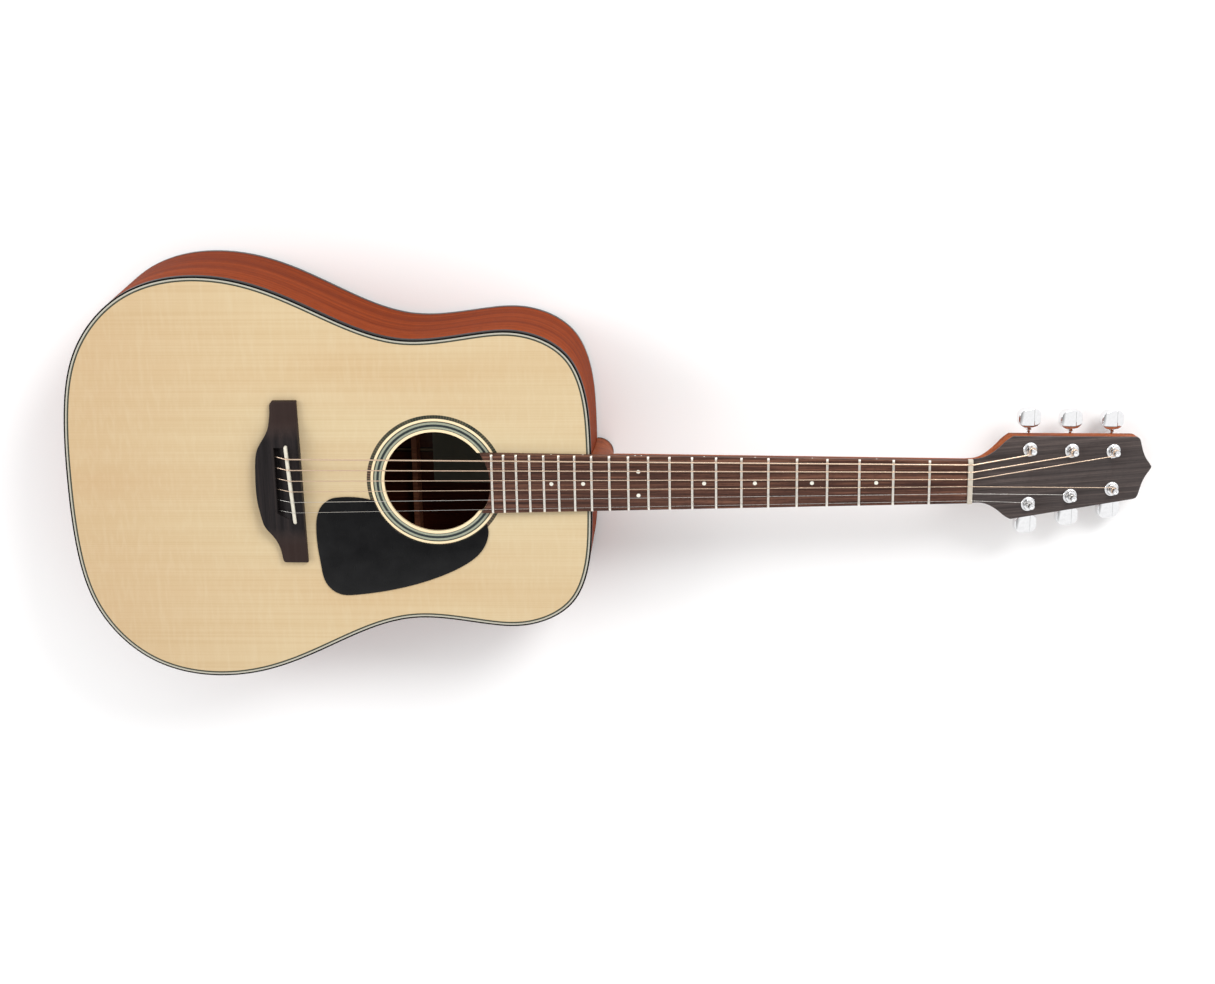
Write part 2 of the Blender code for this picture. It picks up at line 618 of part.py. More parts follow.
def make_truss_rod(root):
    low, matrix = rod_place()
    box("truss_rod", (ROD_BODY_END, -ROD_WIDE / 2, low), (ROD_NUT_END, ROD_WIDE / 2, 0), root, "steel", matrix)
    axis = matrix @ Matrix.Translation((ROD_BODY_END - GAP, 0, low / 2)) @ Matrix.Rotation(-math.pi / 2, 4, "Y")
    r = ROD_NUT_RADIUS
    profile = ((0.0030, 0), (r, 0.0006), (r, ROD_NUT_LONG - 0.0006), (r - 0.0006, ROD_NUT_LONG),
               (0.0023, ROD_NUT_LONG), (0.0023, ROD_NUT_LONG - 0.005))
    turned("truss_rod_nut", profile, 6, root, "steel", axis)


def make_fretboard(root):
    """The board and its frets in one skin: each fret is a low ridge across the arched top."""
    across = [-1, -0.5, 0.5, 1]

    def ring(x, lift):
        half = board_half(x) - 0.0001
        top = [(x, share * half, board_top(x, share * half) + lift) for share in across]
        bottom = [(x, share * half, board_bottom(x)) for share in across]
        return top + bottom[::-1]

    rings = [ring(-0.0002, 0.0)]
    slope = 0.0006
    for number in range(1, FRET_COUNT + 1):
        x = fret_x(number)
        for offset, lift in ((FRET_WIDTH / 2, 0), (FRET_WIDTH / 2 - slope, FRET_HEIGHT),
                             (slope - FRET_WIDTH / 2, FRET_HEIGHT), (-FRET_WIDTH / 2, 0)):
            if number == FRET_COUNT and offset == -FRET_WIDTH / 2 and lift == 0:
                continue
            rings.append(ring(x + offset, lift))
        if number == BODY_FRET:
            rings.append(ring(NECK_EDGE - 0.002, 0.0))
    rings.append(ring(fret_x(FRET_COUNT) - FRET_WIDTH / 2, 0.0))
    rings.append(ring(HOLE_X + math.sqrt(BOARD_END_RADIUS**2 - NOTCH_HALF**2) - 0.002, 0.0))
    fretboard = loft("fretboard", rings, root, "rosewood")
    end = turned("board_end_cutter", ((BOARD_END_RADIUS, -0.01), (BOARD_END_RADIUS, 0.02)), 96, root,
                 matrix=Matrix.Translation((HOLE_X, 0, 0)))
    boolean(fretboard, end)


def make_nut(root):
    low = board_bottom(0)
    half = board_half(0) + 0.0002
    top = board_top(0) + NUT_ABOVE_BOARD
    outline = [(-half, low), (half, low), (half, top - 0.0009), (half - 0.0006, top - 0.0004)]
    for string in range(6, 0, -1):
        y, z = string_at_nut(string)
        r = STRING_DIAMETERS[string - 1] / 2 + STRING_GAP
        floor = z - r
        edge = top - y * y / (2 * BOARD_RADIUS)
        outline += [(y + r, edge), (y + r, floor), (y - r, floor), (y - r, edge)]
    outline += [(-half + 0.0006, top - 0.0004), (-half, top - 0.0009)]
    rings = [[(x, y, z) for y, z in outline] for x in (0.0002, NUT_LENGTH - 0.0003)]
    loft("nut", rings, root, "bone")


def make_overlay(root, head):
    half = [(u, w) for u, w in HEAD_OUTLINE]
    half[0] = (0.0004, half[0][1])
    outline = half + [(u, -w) for u, w in reversed(half)]
    overlay = prism("headstock_overlay", outline, -OVERLAY_THICK, 0, head, "rosewood")
    for seat in tuner_seats():
        boolean(overlay, bpy.data.objects[f"bore_{seat[0]}"])


def make_heel_cap(root):
    steps = 10
    half, long = HEEL_CAP_HALF, HEEL_CAP_LONG
    outline = [(NECK_EDGE + GAP + long * math.sin(math.pi * k / steps), -half * math.cos(math.pi * k / steps))
               for k in range(steps + 1)]
    top = -HEEL_DEPTH - GAP
    prism("heel_cap", outline, top - HEEL_CAP_THICK, top, root, "black_plastic")


# ---------------------------------------------------------------- bridge and strings


def bridge_height(y):
    """Full height in the middle, running down in a scoop to thin wings."""
    share = min(1.0, max(0.0, (abs(y) - BRIDGE_SCOOP[0]) / (BRIDGE_SCOOP[1] - BRIDGE_SCOOP[0])))
    return BRIDGE_TALL + (BRIDGE_WING_TALL - BRIDGE_TALL) * share * share * (3 - 2 * share)


def make_bridge(root):
    (bass_x, bass_y), (treble_x, treble_y) = BRIDGE_FRONT
    rings = []
    for back, y in BRIDGE_BELLY:
        front = bass_x + (treble_x - bass_x) * (bass_y - y) / (bass_y - treble_y)
        tall = bridge_height(y)
        rings.append([(front, y, GAP), (front, y, tall - BRIDGE_EDGE), (front - BRIDGE_EDGE, y, tall),
                      (back + BRIDGE_EDGE, y, tall), (back, y, tall - BRIDGE_EDGE), (back, y, GAP)])
    bridge = loft("bridge", rings, root, "rosewood")
    a, b = Vector(SADDLE_ENDS[0]), Vector(SADDLE_ENDS[1])
    slot = (a - b).length / 2 + GAP
    boolean(bridge, box("saddle_slot", (-SADDLE_THICK / 2 - GAP, -slot, SADDLE_SEAT),
                        (SADDLE_THICK / 2 + GAP, slot, 0.03), root, matrix=saddle_frame()))
    front = lambda y: saddle_frame() @ Vector((-SADDLE_THICK / 2 - 0.0016, y, 0))
    low, high = RECESS_Y
    ring = []
    for y in (low, high):
        x = front(y).x
        ring.append([(RECESS_BACK, y, 0.0036), (x, y, 0.0080), (x, y, 0.02), (RECESS_BACK, y, 0.02)])
    boolean(bridge, loft("recess_cutter", ring, root))
    for string in range(1, 7):
        y = string_y(string, SADDLE_SPACING)
        r = STRING_DIAMETERS[string - 1] / 2 + 0.0003
        turn = Matrix.Translation((0, y, STRING_EXIT_Z)) @ Matrix.Rotation(-math.pi / 2, 4, "Y")
        seat = -BALL_X - 0.0045
        profile = ((r, -RECESS_BACK - 0.004), (r, seat), (0.0023, seat), (0.0023, -BALL_X + 0.01))
        boolean(bridge, turned(f"string_bore_{string}", profile, 8, root, matrix=turn))


def saddle_frame():
    a, b = Vector(SADDLE_ENDS[0]), Vector(SADDLE_ENDS[1])
    middle = (a + b) / 2
    turn = math.atan2((b - a).x, -(b - a).y)
    return Matrix.Translation((middle.x, middle.y, 0)) @ Matrix.Rotation(turn, 4, "Z")


def make_saddle(root):
    """A crowned bar whose top stays just under the strings."""
    half = (Vector(SADDLE_ENDS[0]) - Vector(SADDLE_ENDS[1])).length / 2
    rings = []
    for y in (-half, -half + 0.0025, -0.026, -0.013, 0.0, 0.013, 0.026, half - 0.0025, half):
        edge = abs(y) > half - 0.001
        top = saddle_top(y) - (0.0022 if edge else 0.0)
        t = SADDLE_THICK / 2
        rings.append([(-t, y, SADDLE_SEAT + GAP), (t, y, SADDLE_SEAT + GAP), (t, y, top - 0.0005),
                      (t * 0.4, y, top), (-t * 0.1, y, top), (-t, y, top - 0.0016)])
    obj = loft("saddle", rings, root, "bone")
    obj.matrix_local = saddle_frame()


def string_y(string, spacing):
    """Strings are numbered from the treble side, which is at negative y."""
    return (string - 3.5) * spacing


def string_at_nut(string):
    y = string_y(string, NUT_SPACING)
    r = STRING_DIAMETERS[string - 1] / 2
    return y, board_top(0, y) + FRET_HEIGHT + 0.0003 + r


def saddle_x(y):
    a, b = SADDLE_ENDS
    return a[0] + (b[0] - a[0]) * (a[1] - y) / (a[1] - b[1])


def string_at_saddle(string):
    """Height that gives the string its action over the twelfth fret."""
    y = string_y(string, SADDLE_SPACING)
    x = saddle_x(y)
    nut_y, nut_z = string_at_nut(string)
    middle = fret_x(12)
    r = STRING_DIAMETERS[string - 1] / 2
    share = middle / x
    over = board_top(middle, nut_y + (y - nut_y) * share) + FRET_HEIGHT + ACTION[string - 1] + r
    return x, y, nut_z + (over - nut_z) / share


def saddle_top(y):
    """The saddle's height at y: just under the strings, on a line through their undersides."""
    known = []
    for string in range(1, 7):
        _, at, z = string_at_saddle(string)
        known.append((at, z - STRING_DIAMETERS[string - 1] / 2 - STRING_GAP))
    ys, zs = zip(*known)
    return float(np.interp(y, ys, zs)) - 0.0001


def make_strings(root, head_matrix):
    for string in range(1, 7):
        r = STRING_DIAMETERS[string - 1] / 2
        x, y, z = string_at_saddle(string)
        nut_y, nut_z = string_at_nut(string)
        ball = BALL_RADIUS / r
        points = [
            (BALL_X, y, STRING_EXIT_Z, ball), (BALL_X + 0.0032, y, STRING_EXIT_Z, ball),
            (BALL_X + 0.0036, y, STRING_EXIT_Z, 1), (RECESS_BACK + 0.0004, y, STRING_EXIT_Z, 1),
            (x - 0.0003, y, z, 1), (x + 0.0003, y, z, 1), (0.0002, nut_y, nut_z, 1),
            (NUT_LENGTH - 0.0003, nut_y, nut_z, 1),
        ]
        _, u, v, hand = next(seat for seat in tuner_seats() if seat[0] == string)
        reach = POST_WAIST + r + 0.00008
        end = tangent_point((0.0, nut_y), (u, v), reach, -hand)
        world = head_matrix @ Vector((end[0], end[1], POST_HOLE_Z - 0.0015))
        points.append((world.x, world.y, world.z, 1))
        curve = bpy.data.curves.new(f"string_{string}", "CURVE")
        curve.dimensions = "3D"
        curve.bevel_depth = r
        curve.bevel_resolution = 1
        curve.use_fill_caps = True
        spline = curve.splines.new("POLY")
        spline.points.add(len(points) - 1)
        for point, (px, py, pz, radius) in zip(spline.points, points):
            point.co = (px, py, pz, 1)
            point.radius = radius
        obj = bpy.data.objects.new(f"string_{string}", curve)
        bpy.context.scene.collection.objects.link(obj)
        obj.parent = root
        look = "bronze" if string >= 3 else "steel"
        curve.materials.append(material(look, *MATERIALS[look]))


def tangent_point(start, centre, radius, hand):
    """Where the line from start touches the circle, on the side of it that hand points to."""
    dx, dy = centre[0] - start[0], centre[1] - start[1]
    distance = math.hypot(dx, dy)
    heading = math.atan2(dy, dx) + hand * math.asin(radius / distance)
    run = math.sqrt(distance**2 - radius**2)
    return start[0] + run * math.cos(heading), start[1] + run * math.sin(heading)


def make_pickguard(root):
    steps = 14
    first, last = (math.radians(a) for a in GUARD_ANGLES)
    arc = [(HOLE_X + GUARD_RADIUS * math.cos(a), GUARD_RADIUS * math.sin(a))
           for a in (first + (last - first) * k / steps for k in range(steps + 1))]
    prism("pickguard", arc + list(GUARD_OUTLINE), GAP, GAP + GUARD_THICK, root, "black_plastic")


# ---------------------------------------------------------------- tuners


def tuner_seats():
    """(string, u, v, hand): bass strings 6, 5 and 4 lie at positive v, treble strings 1, 2 and 3 at negative v."""
    seats = []
    for place, (u, v) in enumerate(TUNER_SEATS):
        seats.append((6 - place, u, v, 1))
        seats.append((1 + place, u, -v, -1))
    return seats


def make_wheel(name, parent, hand):
    """The worm wheel: teeth leaning with the worm's lead, one gap standing over the worm's thread."""
    lead = math.atan(WHEEL_PITCH / (2 * math.pi * WORM_RADIUS))
    rings = []
    for level in (-0.5, 0.5):
        z = WORM_Z + level * TOOTH_FACE
        twist = level * TOOTH_FACE * math.tan(lead) / WHEEL_RADIUS
        ring = []
        for tooth in range(WHEEL_TEETH):
            centre = (tooth + 0.5 + hand * THREAD_PHASE) * 2 * math.pi / WHEEL_TEETH + twist
            for side, radius, share in ((-1, -1.35, 0.31), (-1, 0.9, 0.12), (1, 0.9, 0.12), (1, -1.35, 0.31)):
                a = centre + side * share * 2 * math.pi / WHEEL_TEETH
                r = WHEEL_RADIUS + radius * TOOTH_TALL
                ring.append((r * math.cos(a), r * math.sin(a), z))
        rings.append(ring)
    return loft(name, rings, parent)


def make_post(string, parent, hand):
    profile = (
        (0.0022, WORM_Z - 0.0026), (0.0022, WORM_Z - TOOTH_FACE / 2 - 0.0004),
        (POST_RADIUS - 0.0008, WORM_Z - TOOTH_FACE / 2 + 0.0002), (POST_RADIUS - 0.0008, WORM_Z + 0.0020),
        (POST_RADIUS, WORM_Z + 0.0030), (POST_RADIUS, 0.0034), (POST_WAIST, 0.0044), (POST_WAIST, 0.0086),
        (POST_RADIUS, 0.0094), (POST_RADIUS, POST_TOP - 0.0006), (POST_RADIUS - 0.0006, POST_TOP),
    )
    post = turned(f"tuner_{string}_post", profile, 12, parent, "chrome")
    wheel = make_wheel(f"wheel_{string}", parent, hand)
    boolean(post, wheel, "UNION")
    turn = Matrix.Translation((0, 0, POST_HOLE_Z)) @ Matrix.Rotation(math.pi / 2, 4, "Y")
    hole = turned(f"post_hole_{string}", ((POST_HOLE_RADIUS, -0.006), (POST_HOLE_RADIUS, 0.006)), 8, parent,
                  matrix=turn)
    boolean(post, hole)


def make_bushing(string, parent):
    """A hexagonal nut with a round washer under it and a sleeve down the headstock's bore."""
    washer = GAP + 0.0011
    flat = BUSHING_HEX / math.cos(math.pi / 6)
    bore = (POST_RADIUS + 0.00005) / math.cos(math.pi / 12)
    profile = (
        (bore, -HEAD_THICK + GAP), (BUSHING_SLEEVE, -HEAD_THICK + GAP), (BUSHING_SLEEVE, GAP),
        (BUSHING_WASHER_RADIUS, GAP), (BUSHING_WASHER_RADIUS - 0.0004, washer), (0.0060, washer + 0.0002),
        (0.0046, washer + 0.0002), (0.0044, 0.0030), (bore, 0.0030),
    )
    bushing = tube(f"tuner_{string}_bushing", profile, 12, parent, "chrome")
    inner = (bore + 0.0004) / math.cos(math.pi / 6)
    hexagon = ((inner, washer), (flat, washer), (flat, 0.0026), (flat - 0.0006, 0.0032), (inner, 0.0032))
    boolean(bushing, tube(f"hexagon_{string}", hexagon, 6, parent), "UNION")


def make_housing(string, parent, hand):
    """A cast cup that closes against the headstock; the worm's shaft leaves it towards the button."""
    centre_u = WORM_OFFSET / 2
    low = -HEAD_THICK - GAP - HOUSING_TALL
    half_u, half_v = HOUSING_LONG / 2, HOUSING_WIDE / 2
    shift = hand * 0.0012
    shell = box(f"tuner_{string}_housing", (centre_u - half_u, shift - half_v, low),
                (centre_u + half_u, shift + half_v, -HEAD_THICK - GAP), parent, "chrome")
    bevel(shell, 0.0018)
    wall_thick = HOUSING_WALL
    room = box(f"room_{string}", (centre_u - half_u + wall_thick + 0.001, shift - half_v + wall_thick + 0.0006,
                                  low + wall_thick),
               (centre_u + half_u - wall_thick - 0.001, shift + half_v - wall_thick - 0.0006, 0), parent)
    boolean(shell, room)
    turn = Matrix.Translation((WORM_OFFSET, 0, WORM_Z)) @ Matrix.Rotation(-hand * math.pi / 2, 4, "X")
    port = turned(f"port_{string}", ((SHAFT_RADIUS + 0.0001, 0), (SHAFT_RADIUS + 0.0001, 0.02)), 16, parent,
                  matrix=turn)
    boolean(shell, port)


def make_button(string, parent, hand):
    """Worm, shaft and button in one. Local +Z runs from the worm out to the button."""
    turn = Matrix.Translation((WORM_OFFSET, 0, WORM_Z)) @ Matrix.Rotation(-hand * math.pi / 2, 4, "X")
    step = WHEEL_PITCH / WORM_SIDES
    count = WORM_TURNS * WORM_SIDES
    first = -count // 2
    # Height of the thread over one turn, in steps of its own pitch
    ridge = (1, 1, 0, 0, 0, 0, 0, 0)
    core = WORM_RADIUS - 1.35 * TOOTH_TALL
    crest = WORM_RADIUS + 0.9 * TOOTH_TALL
    levels = [(first - 3, True)] + [(k, False) for k in range(first, first + count + 1)]
    rings = []
    for k, plain in levels:
        ring = []
        for i in range(WORM_SIDES):
            a = 2 * math.pi * i / WORM_SIDES
            high = ridge[(k - i) % WORM_SIDES] and not plain and abs(k) < count // 2 - 1
            r = crest if high else core
            ring.append((r * math.cos(a), r * math.sin(a), k * step))
        rings.append(ring)
    for z, r in ((0.0046, core), (0.0050, SHAFT_RADIUS), (BUTTON_INNER - 0.003, SHAFT_RADIUS),
                 (BUTTON_INNER - 0.0028, 0.0024), (BUTTON_INNER + 0.001, 0.0024)):
        rings.append([(r * math.cos(2 * math.pi * i / WORM_SIDES), r * math.sin(2 * math.pi * i / WORM_SIDES), z)
                      for i in range(WORM_SIDES)])
    verts = [v for ring in rings for v in ring]
    faces = []
    for r in range(len(rings) - 1):
        a, b = r * WORM_SIDES, (r + 1) * WORM_SIDES
        for i in range(WORM_SIDES):
            j = (i + 1) % WORM_SIDES
            faces += [(a + i, a + j, b + j), (a + i, b + j, b + i)]
    faces.append(tuple(range(WORM_SIDES)))
    faces.append(tuple(range(len(verts) - WORM_SIDES, len(verts))))
    shaft = mesh_object(f"tuner_{string}_button", verts, faces, parent, "chrome", smooth=True)
    shaft.matrix_local = turn
    middle = (BUTTON_INNER + BUTTON_OUTER) / 2
    long, wide = (BUTTON_OUTER - BUTTON_INNER) / 2, BUTTON_WIDE / 2
    outline = ((0.30, -1.0), (0.62, -0.86), (0.90, -0.52), (1.0, 0.0), (0.93, 0.50), (0.66, 0.88), (0.28, 1.0))
    outline += tuple((-x, z) for x, z in reversed(outline))
    rings = []
    for level, share in ((-1, 0.68), (-0.62, 0.94), (0, 1.0), (0.62, 0.94), (1, 0.68)):
        rings.append([(x * wide * share, level * BUTTON_THICK / 2, middle + z * long * share) for x, z in outline])
    grip = loft(f"grip_{string}", rings, parent)
    grip.matrix_local = turn
    boolean(shaft, grip, "UNION")


def make_tuners(head):
    for string, u, v, hand in tuner_seats():
        seat = empty(f"tuner_{string}", Matrix.Translation((u, v, 0)), head)
        make_housing(string, seat, hand)
        make_post(string, seat, hand)
        make_bushing(string, seat)
        make_button(string, seat, hand)


def main():
    clear_scene()
    lie_down = Matrix.Rotation(BACK_TILT, 4, "Y")
    under = lie_down @ Vector((NECK_EDGE, 0, -NECK_DEPTH))
    root = empty("guitar", Matrix.Translation((-ROW_CENTRE_X, 0, -under.z)) @ lie_down)
    head_matrix = Matrix.Translation(HEAD_ORIGIN) @ Matrix.Rotation(HEAD_ANGLE, 4, "Y")
    head = empty("headstock", head_matrix, root)
    make_body(root)
    make_end_pin(root)
    make_neck(root, head)
    make_truss_rod(root)
    make_fretboard(root)
    make_nut(root)
    make_overlay(root, head)
    make_heel_cap(root)
    make_bridge(root)
    make_saddle(root)
    make_pickguard(root)
    make_strings(root, head_matrix)
    make_tuners(head)


main()
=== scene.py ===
"""Looks of a steel-string flat-top guitar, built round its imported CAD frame.

Most pieces are laid out in the guitar's own frame: x = 0 at the nut's fretboard edge and growing towards
the headstock, +Y the bass side, z = 0 the soundboard's upper face. GUITAR carries that frame into the CAD's,
and HEAD the headstock's: u along its face, v across it, w = 0 the face itself. Units are metres.
"""

import math

import bmesh
import bpy
import numpy as np
from mathutils import Euler, Matrix, Vector


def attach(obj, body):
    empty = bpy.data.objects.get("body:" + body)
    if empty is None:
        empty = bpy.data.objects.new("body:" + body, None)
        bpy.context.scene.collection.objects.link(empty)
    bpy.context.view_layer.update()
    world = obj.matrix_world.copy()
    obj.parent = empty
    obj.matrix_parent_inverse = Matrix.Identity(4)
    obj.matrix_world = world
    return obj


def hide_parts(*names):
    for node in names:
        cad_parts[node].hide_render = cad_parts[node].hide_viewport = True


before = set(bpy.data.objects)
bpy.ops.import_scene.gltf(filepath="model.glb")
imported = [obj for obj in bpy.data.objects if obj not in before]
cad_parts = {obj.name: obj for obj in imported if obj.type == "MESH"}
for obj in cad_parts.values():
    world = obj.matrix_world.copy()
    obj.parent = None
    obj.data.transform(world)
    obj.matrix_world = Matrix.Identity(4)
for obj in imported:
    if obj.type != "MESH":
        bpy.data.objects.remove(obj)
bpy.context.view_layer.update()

# ---------------------------------------------------------------- sizes shared with the CAD

GAP = 0.0003
SCALE_LENGTH = 0.644
FRET_COUNT = 21
BODY_FRET = 14
NECK_ANGLE = math.radians(0.7)
BOARD_THICK = 0.006
BOARD_HALF_NUT = 0.02135
BOARD_WIDENING = 0.0185
BOARD_RADIUS = 0.400
BOARD_END_RADIUS = 0.0532
FRET_HEIGHT = 0.0011
FRET_WIDTH = 0.0024
NUT_LENGTH = 0.0052
NUT_ABOVE_BOARD = 0.0022
TAIL_DEPTH, NECK_DEPTH, BODY_LENGTH = 0.124, 0.100, 0.5104
TOP_THICK = 0.0028
BACK_THICK = 0.0028
SIDE_THICK = 0.0023
BINDING_WIDE = 0.0016
TOP_BINDING_TALL = 0.0065
BACK_BINDING_TALL = 0.005
# Right half of the body's outline: (distance from the tail, half width)
HALF_OUTLINE = (
    (0.0030, 0.0697), (0.0169, 0.1277), (0.0700, 0.1868), (0.1763, 0.1985),
    (0.2468, 0.1717), (0.3317, 0.1409), (0.4047, 0.1470), (0.4399, 0.1485),
    (0.4901, 0.1237), (0.5045, 0.0924), (0.5099, 0.0444),
)
HOLE_X = -0.5075
HOLE_RADIUS = 0.050
NOTCH_HALF = 0.0292
BRIDGE_TALL = 0.0098
BRIDGE_WING_TALL = 0.0052
BRIDGE_FRONT = ((-0.6353, -0.0812), (-0.6378, 0.0820))
BRIDGE_BELLY = (
    (-0.6610, 0.0820), (-0.6628, 0.0800), (-0.6637, 0.0740), (-0.6648, 0.0640), (-0.6675, 0.0520),
    (-0.6722, 0.0440), (-0.6772, 0.0350), (-0.6802, 0.0180), (-0.6808, 0.0050), (-0.6803, -0.0168),
    (-0.6775, -0.0330), (-0.6745, -0.0430), (-0.6690, -0.0510), (-0.6642, -0.0600), (-0.6614, -0.0680),
    (-0.6600, -0.0760), (-0.6588, -0.0800), (-0.6573, -0.0812),
)
SADDLE_ENDS = (Vector((-0.6493, 0.0396)), Vector((-0.6442, -0.0396)))
SADDLE_LONG = (SADDLE_ENDS[0] - SADDLE_ENDS[1]).length
SADDLE_THICK = 0.0030
SADDLE_SEAT = 0.0040
RECESS_BACK = -0.6612
RECESS_Y = (-0.0345, 0.0372)
BALL_X = -0.6765
STRING_EXIT_Z = 0.0054
STRING_DIAMETERS = (0.00030, 0.00041, 0.00061, 0.00081, 0.00107, 0.00135)
STRING_GAP = 0.00012
NUT_SPACING = 0.0072
SADDLE_SPACING = 0.0109
ACTION = (0.0016, 0.0017, 0.0018, 0.0019, 0.0020, 0.0021)
BALL_RADIUS = 0.0019
GUARD_THICK = 0.0008
GUARD_RADIUS = 0.0640
GUARD_ANGLES = (197.0, 318.0)
GUARD_OUTLINE = (
    (-0.4586, -0.0470), (-0.4592, -0.0575), (-0.4665, -0.0718), (-0.4817, -0.0844), (-0.5070, -0.0968),
    (-0.5465, -0.1090), (-0.5912, -0.1161), (-0.6045, -0.1158), (-0.6130, -0.1115), (-0.6197, -0.1030),
    (-0.6235, -0.0850), (-0.6256, -0.0670), (-0.6261, -0.0488), (-0.6251, -0.0375), (-0.6228, -0.0298),
    (-0.6190, -0.0234), (-0.6149, -0.0199), (-0.6109, -0.0173), (-0.6030, -0.0156), (-0.5952, -0.0152),
    (-0.5874, -0.0154), (-0.5797, -0.0162),
)
NECK_WOOD_NUT, NECK_WOOD_BODY = 0.0150, 0.0185
SHAFT_POWER = 2.3  # of the superellipse under the neck
HEEL_CAP_LONG, HEEL_CAP_HALF, HEEL_CAP_THICK = 0.016, 0.015, 0.0024
HEEL_FILLET = 0.046
HEEL_DEPTH = 0.0962
TENON_HALF = 0.011
HEAD_ANGLE = NECK_ANGLE + math.radians(13.6)
HEAD_THICK = 0.0150
OVERLAY_THICK = 0.0020
# Half outline of the headstock: the flare past the nut, the straight side, then the scoop up to the tip
HEAD_FLARE = (
    (0.000, 0.0218), (0.006, 0.0221), (0.011, 0.0230), (0.016, 0.0249), (0.021, 0.0278), (0.027, 0.0323),
    (0.033, 0.0376), (0.0393, 0.0414),
)
HEAD_SCOOP = (
    (0.1635, 0.0314), (0.1665, 0.0305), (0.1684, 0.0283), (0.1697, 0.0245), (0.1710, 0.0198),
    (0.1730, 0.0140), (0.1763, 0.0078), (0.1798, 0.0030), (0.1812, 0.0006),
)
TUNER_SEATS = ((0.0565, 0.0272), (0.0989, 0.0227), (0.1413, 0.0190))
POST_RADIUS, POST_WAIST, POST_TOP = 0.0030, 0.0025, 0.0105
POST_HOLE_Z, POST_HOLE_RADIUS = 0.0072, 0.0009
BUSHING_WASHER_RADIUS = 0.0072
BUSHING_HEX = 0.0050
BUSHING_SLEEVE = 0.0041
HEAD_BORE = 0.0045
HOUSING_LONG, HOUSING_WIDE, HOUSING_TALL = 0.0180, 0.0170, 0.0086
HOUSING_WALL = 0.0012
WHEEL_TEETH = 14
WHEEL_PITCH = 0.001459
WHEEL_RADIUS = WHEEL_TEETH * WHEEL_PITCH / (2 * math.pi)
WORM_RADIUS = 0.0022
WORM_OFFSET = WHEEL_RADIUS + WORM_RADIUS
TOOTH_TALL = 0.00036
TOOTH_FACE = 0.0022
SHAFT_RADIUS = 0.0016
BUTTON_INNER, BUTTON_OUTER = 0.0165, 0.0350
BUTTON_WIDE, BUTTON_THICK = 0.0232, 0.0088
WORM_Z = -HEAD_THICK - 0.0047
THREAD_PHASE = 0.5625  # of a pitch, where the thread faces the wheel
PIN_OUT = 0.0125
PIN_Z = -0.062
ROW_CENTRE_X = -0.35193

NECK_EDGE = -SCALE_LENGTH * (1 - 2 ** (-BODY_FRET / 12))
TAIL_EDGE = NECK_EDGE - BODY_LENGTH
DEPTH_SLOPE = (TAIL_DEPTH - NECK_DEPTH) / BODY_LENGTH
BACK_TILT = math.atan(DEPTH_SLOPE)
WOOD_TOP_NUT = math.tan(NECK_ANGLE) * NECK_EDGE
LIE_DOWN = Matrix.Rotation(BACK_TILT, 4, "Y")
BACK_AT_NECK = LIE_DOWN @ Vector((NECK_EDGE, 0, -NECK_DEPTH))
GUITAR = Matrix.Translation((-ROW_CENTRE_X, 0, -BACK_AT_NECK.z)) @ LIE_DOWN
HEAD_ORIGIN = Vector((NUT_LENGTH, 0, WOOD_TOP_NUT + (OVERLAY_THICK + GAP) * math.cos(HEAD_ANGLE)))
HEAD_IN_GUITAR = Matrix.Translation(HEAD_ORIGIN) @ Matrix.Rotation(HEAD_ANGLE, 4, "Y")
HEAD = GUITAR @ HEAD_IN_GUITAR
HOLE = GUITAR @ Matrix.Translation((HOLE_X, 0, 0))

# ---------------------------------------------------------------- sizes of the looks

OUTLINE_POINTS = 420
OUTLINE_EASE = 0.00015  # keeps the smooth outline inside the frame's many-sided one
# Bands from the body's edge inwards: name, outer inset, inner inset, look
PURFLING = (
    ("purfling_light", 0.0016, 0.0031, "pale_purfling"),
    ("purfling_dark", 0.0031, 0.0047, "dark_purfling"),
)
TOP_INSET = 0.0047
# Rings round the sound hole: name, inner radius, outer radius, look
ROSETTE = (
    ("rosette_inner_cream", 0.0500, 0.0527, "cream_purfling"),
    ("rosette_line_1", 0.0527, 0.0533, "dark_purfling"),
    ("rosette_grey_1", 0.0533, 0.0552, "green_grey_purfling"),
    ("rosette_line_2", 0.0552, 0.0576, "ink_purfling"),
    ("rosette_grey_2", 0.0576, 0.0596, "green_grey_purfling"),
    ("rosette_line_3", 0.0596, 0.0608, "dark_purfling"),
    ("rosette_outer_cream", 0.0608, 0.0632, "cream_purfling"),
    ("rosette_dashes", 0.0632, 0.0668, "dashed_purfling"),
)
ROSETTE_RADIUS = 0.0668
ROSETTE_THICK = 0.0009
DOT_FRETS = (3, 5, 7, 9, 12, 15, 17)
DOT_RADIUS = 0.0019
SIDE_DOT_RADIUS = 0.0009


def back_z(x):
    return -NECK_DEPTH + DEPTH_SLOPE * (x - NECK_EDGE)


def board_bottom(x):
    return GAP + math.tan(NECK_ANGLE) * min(0.0, NECK_EDGE - x)


def board_top(x, y=0.0):
    return GAP + BOARD_THICK - math.tan(NECK_ANGLE) * (x - NECK_EDGE) - y * y / (2 * BOARD_RADIUS)


def board_half(x):
    return BOARD_HALF_NUT - BOARD_WIDENING * x


def fret_x(number):
    return -SCALE_LENGTH * (1 - 2 ** (-number / 12))


def lerp(a, b, share):
    return a + (b - a) * share


# ---------------------------------------------------------------- materials


LOOKS = {}


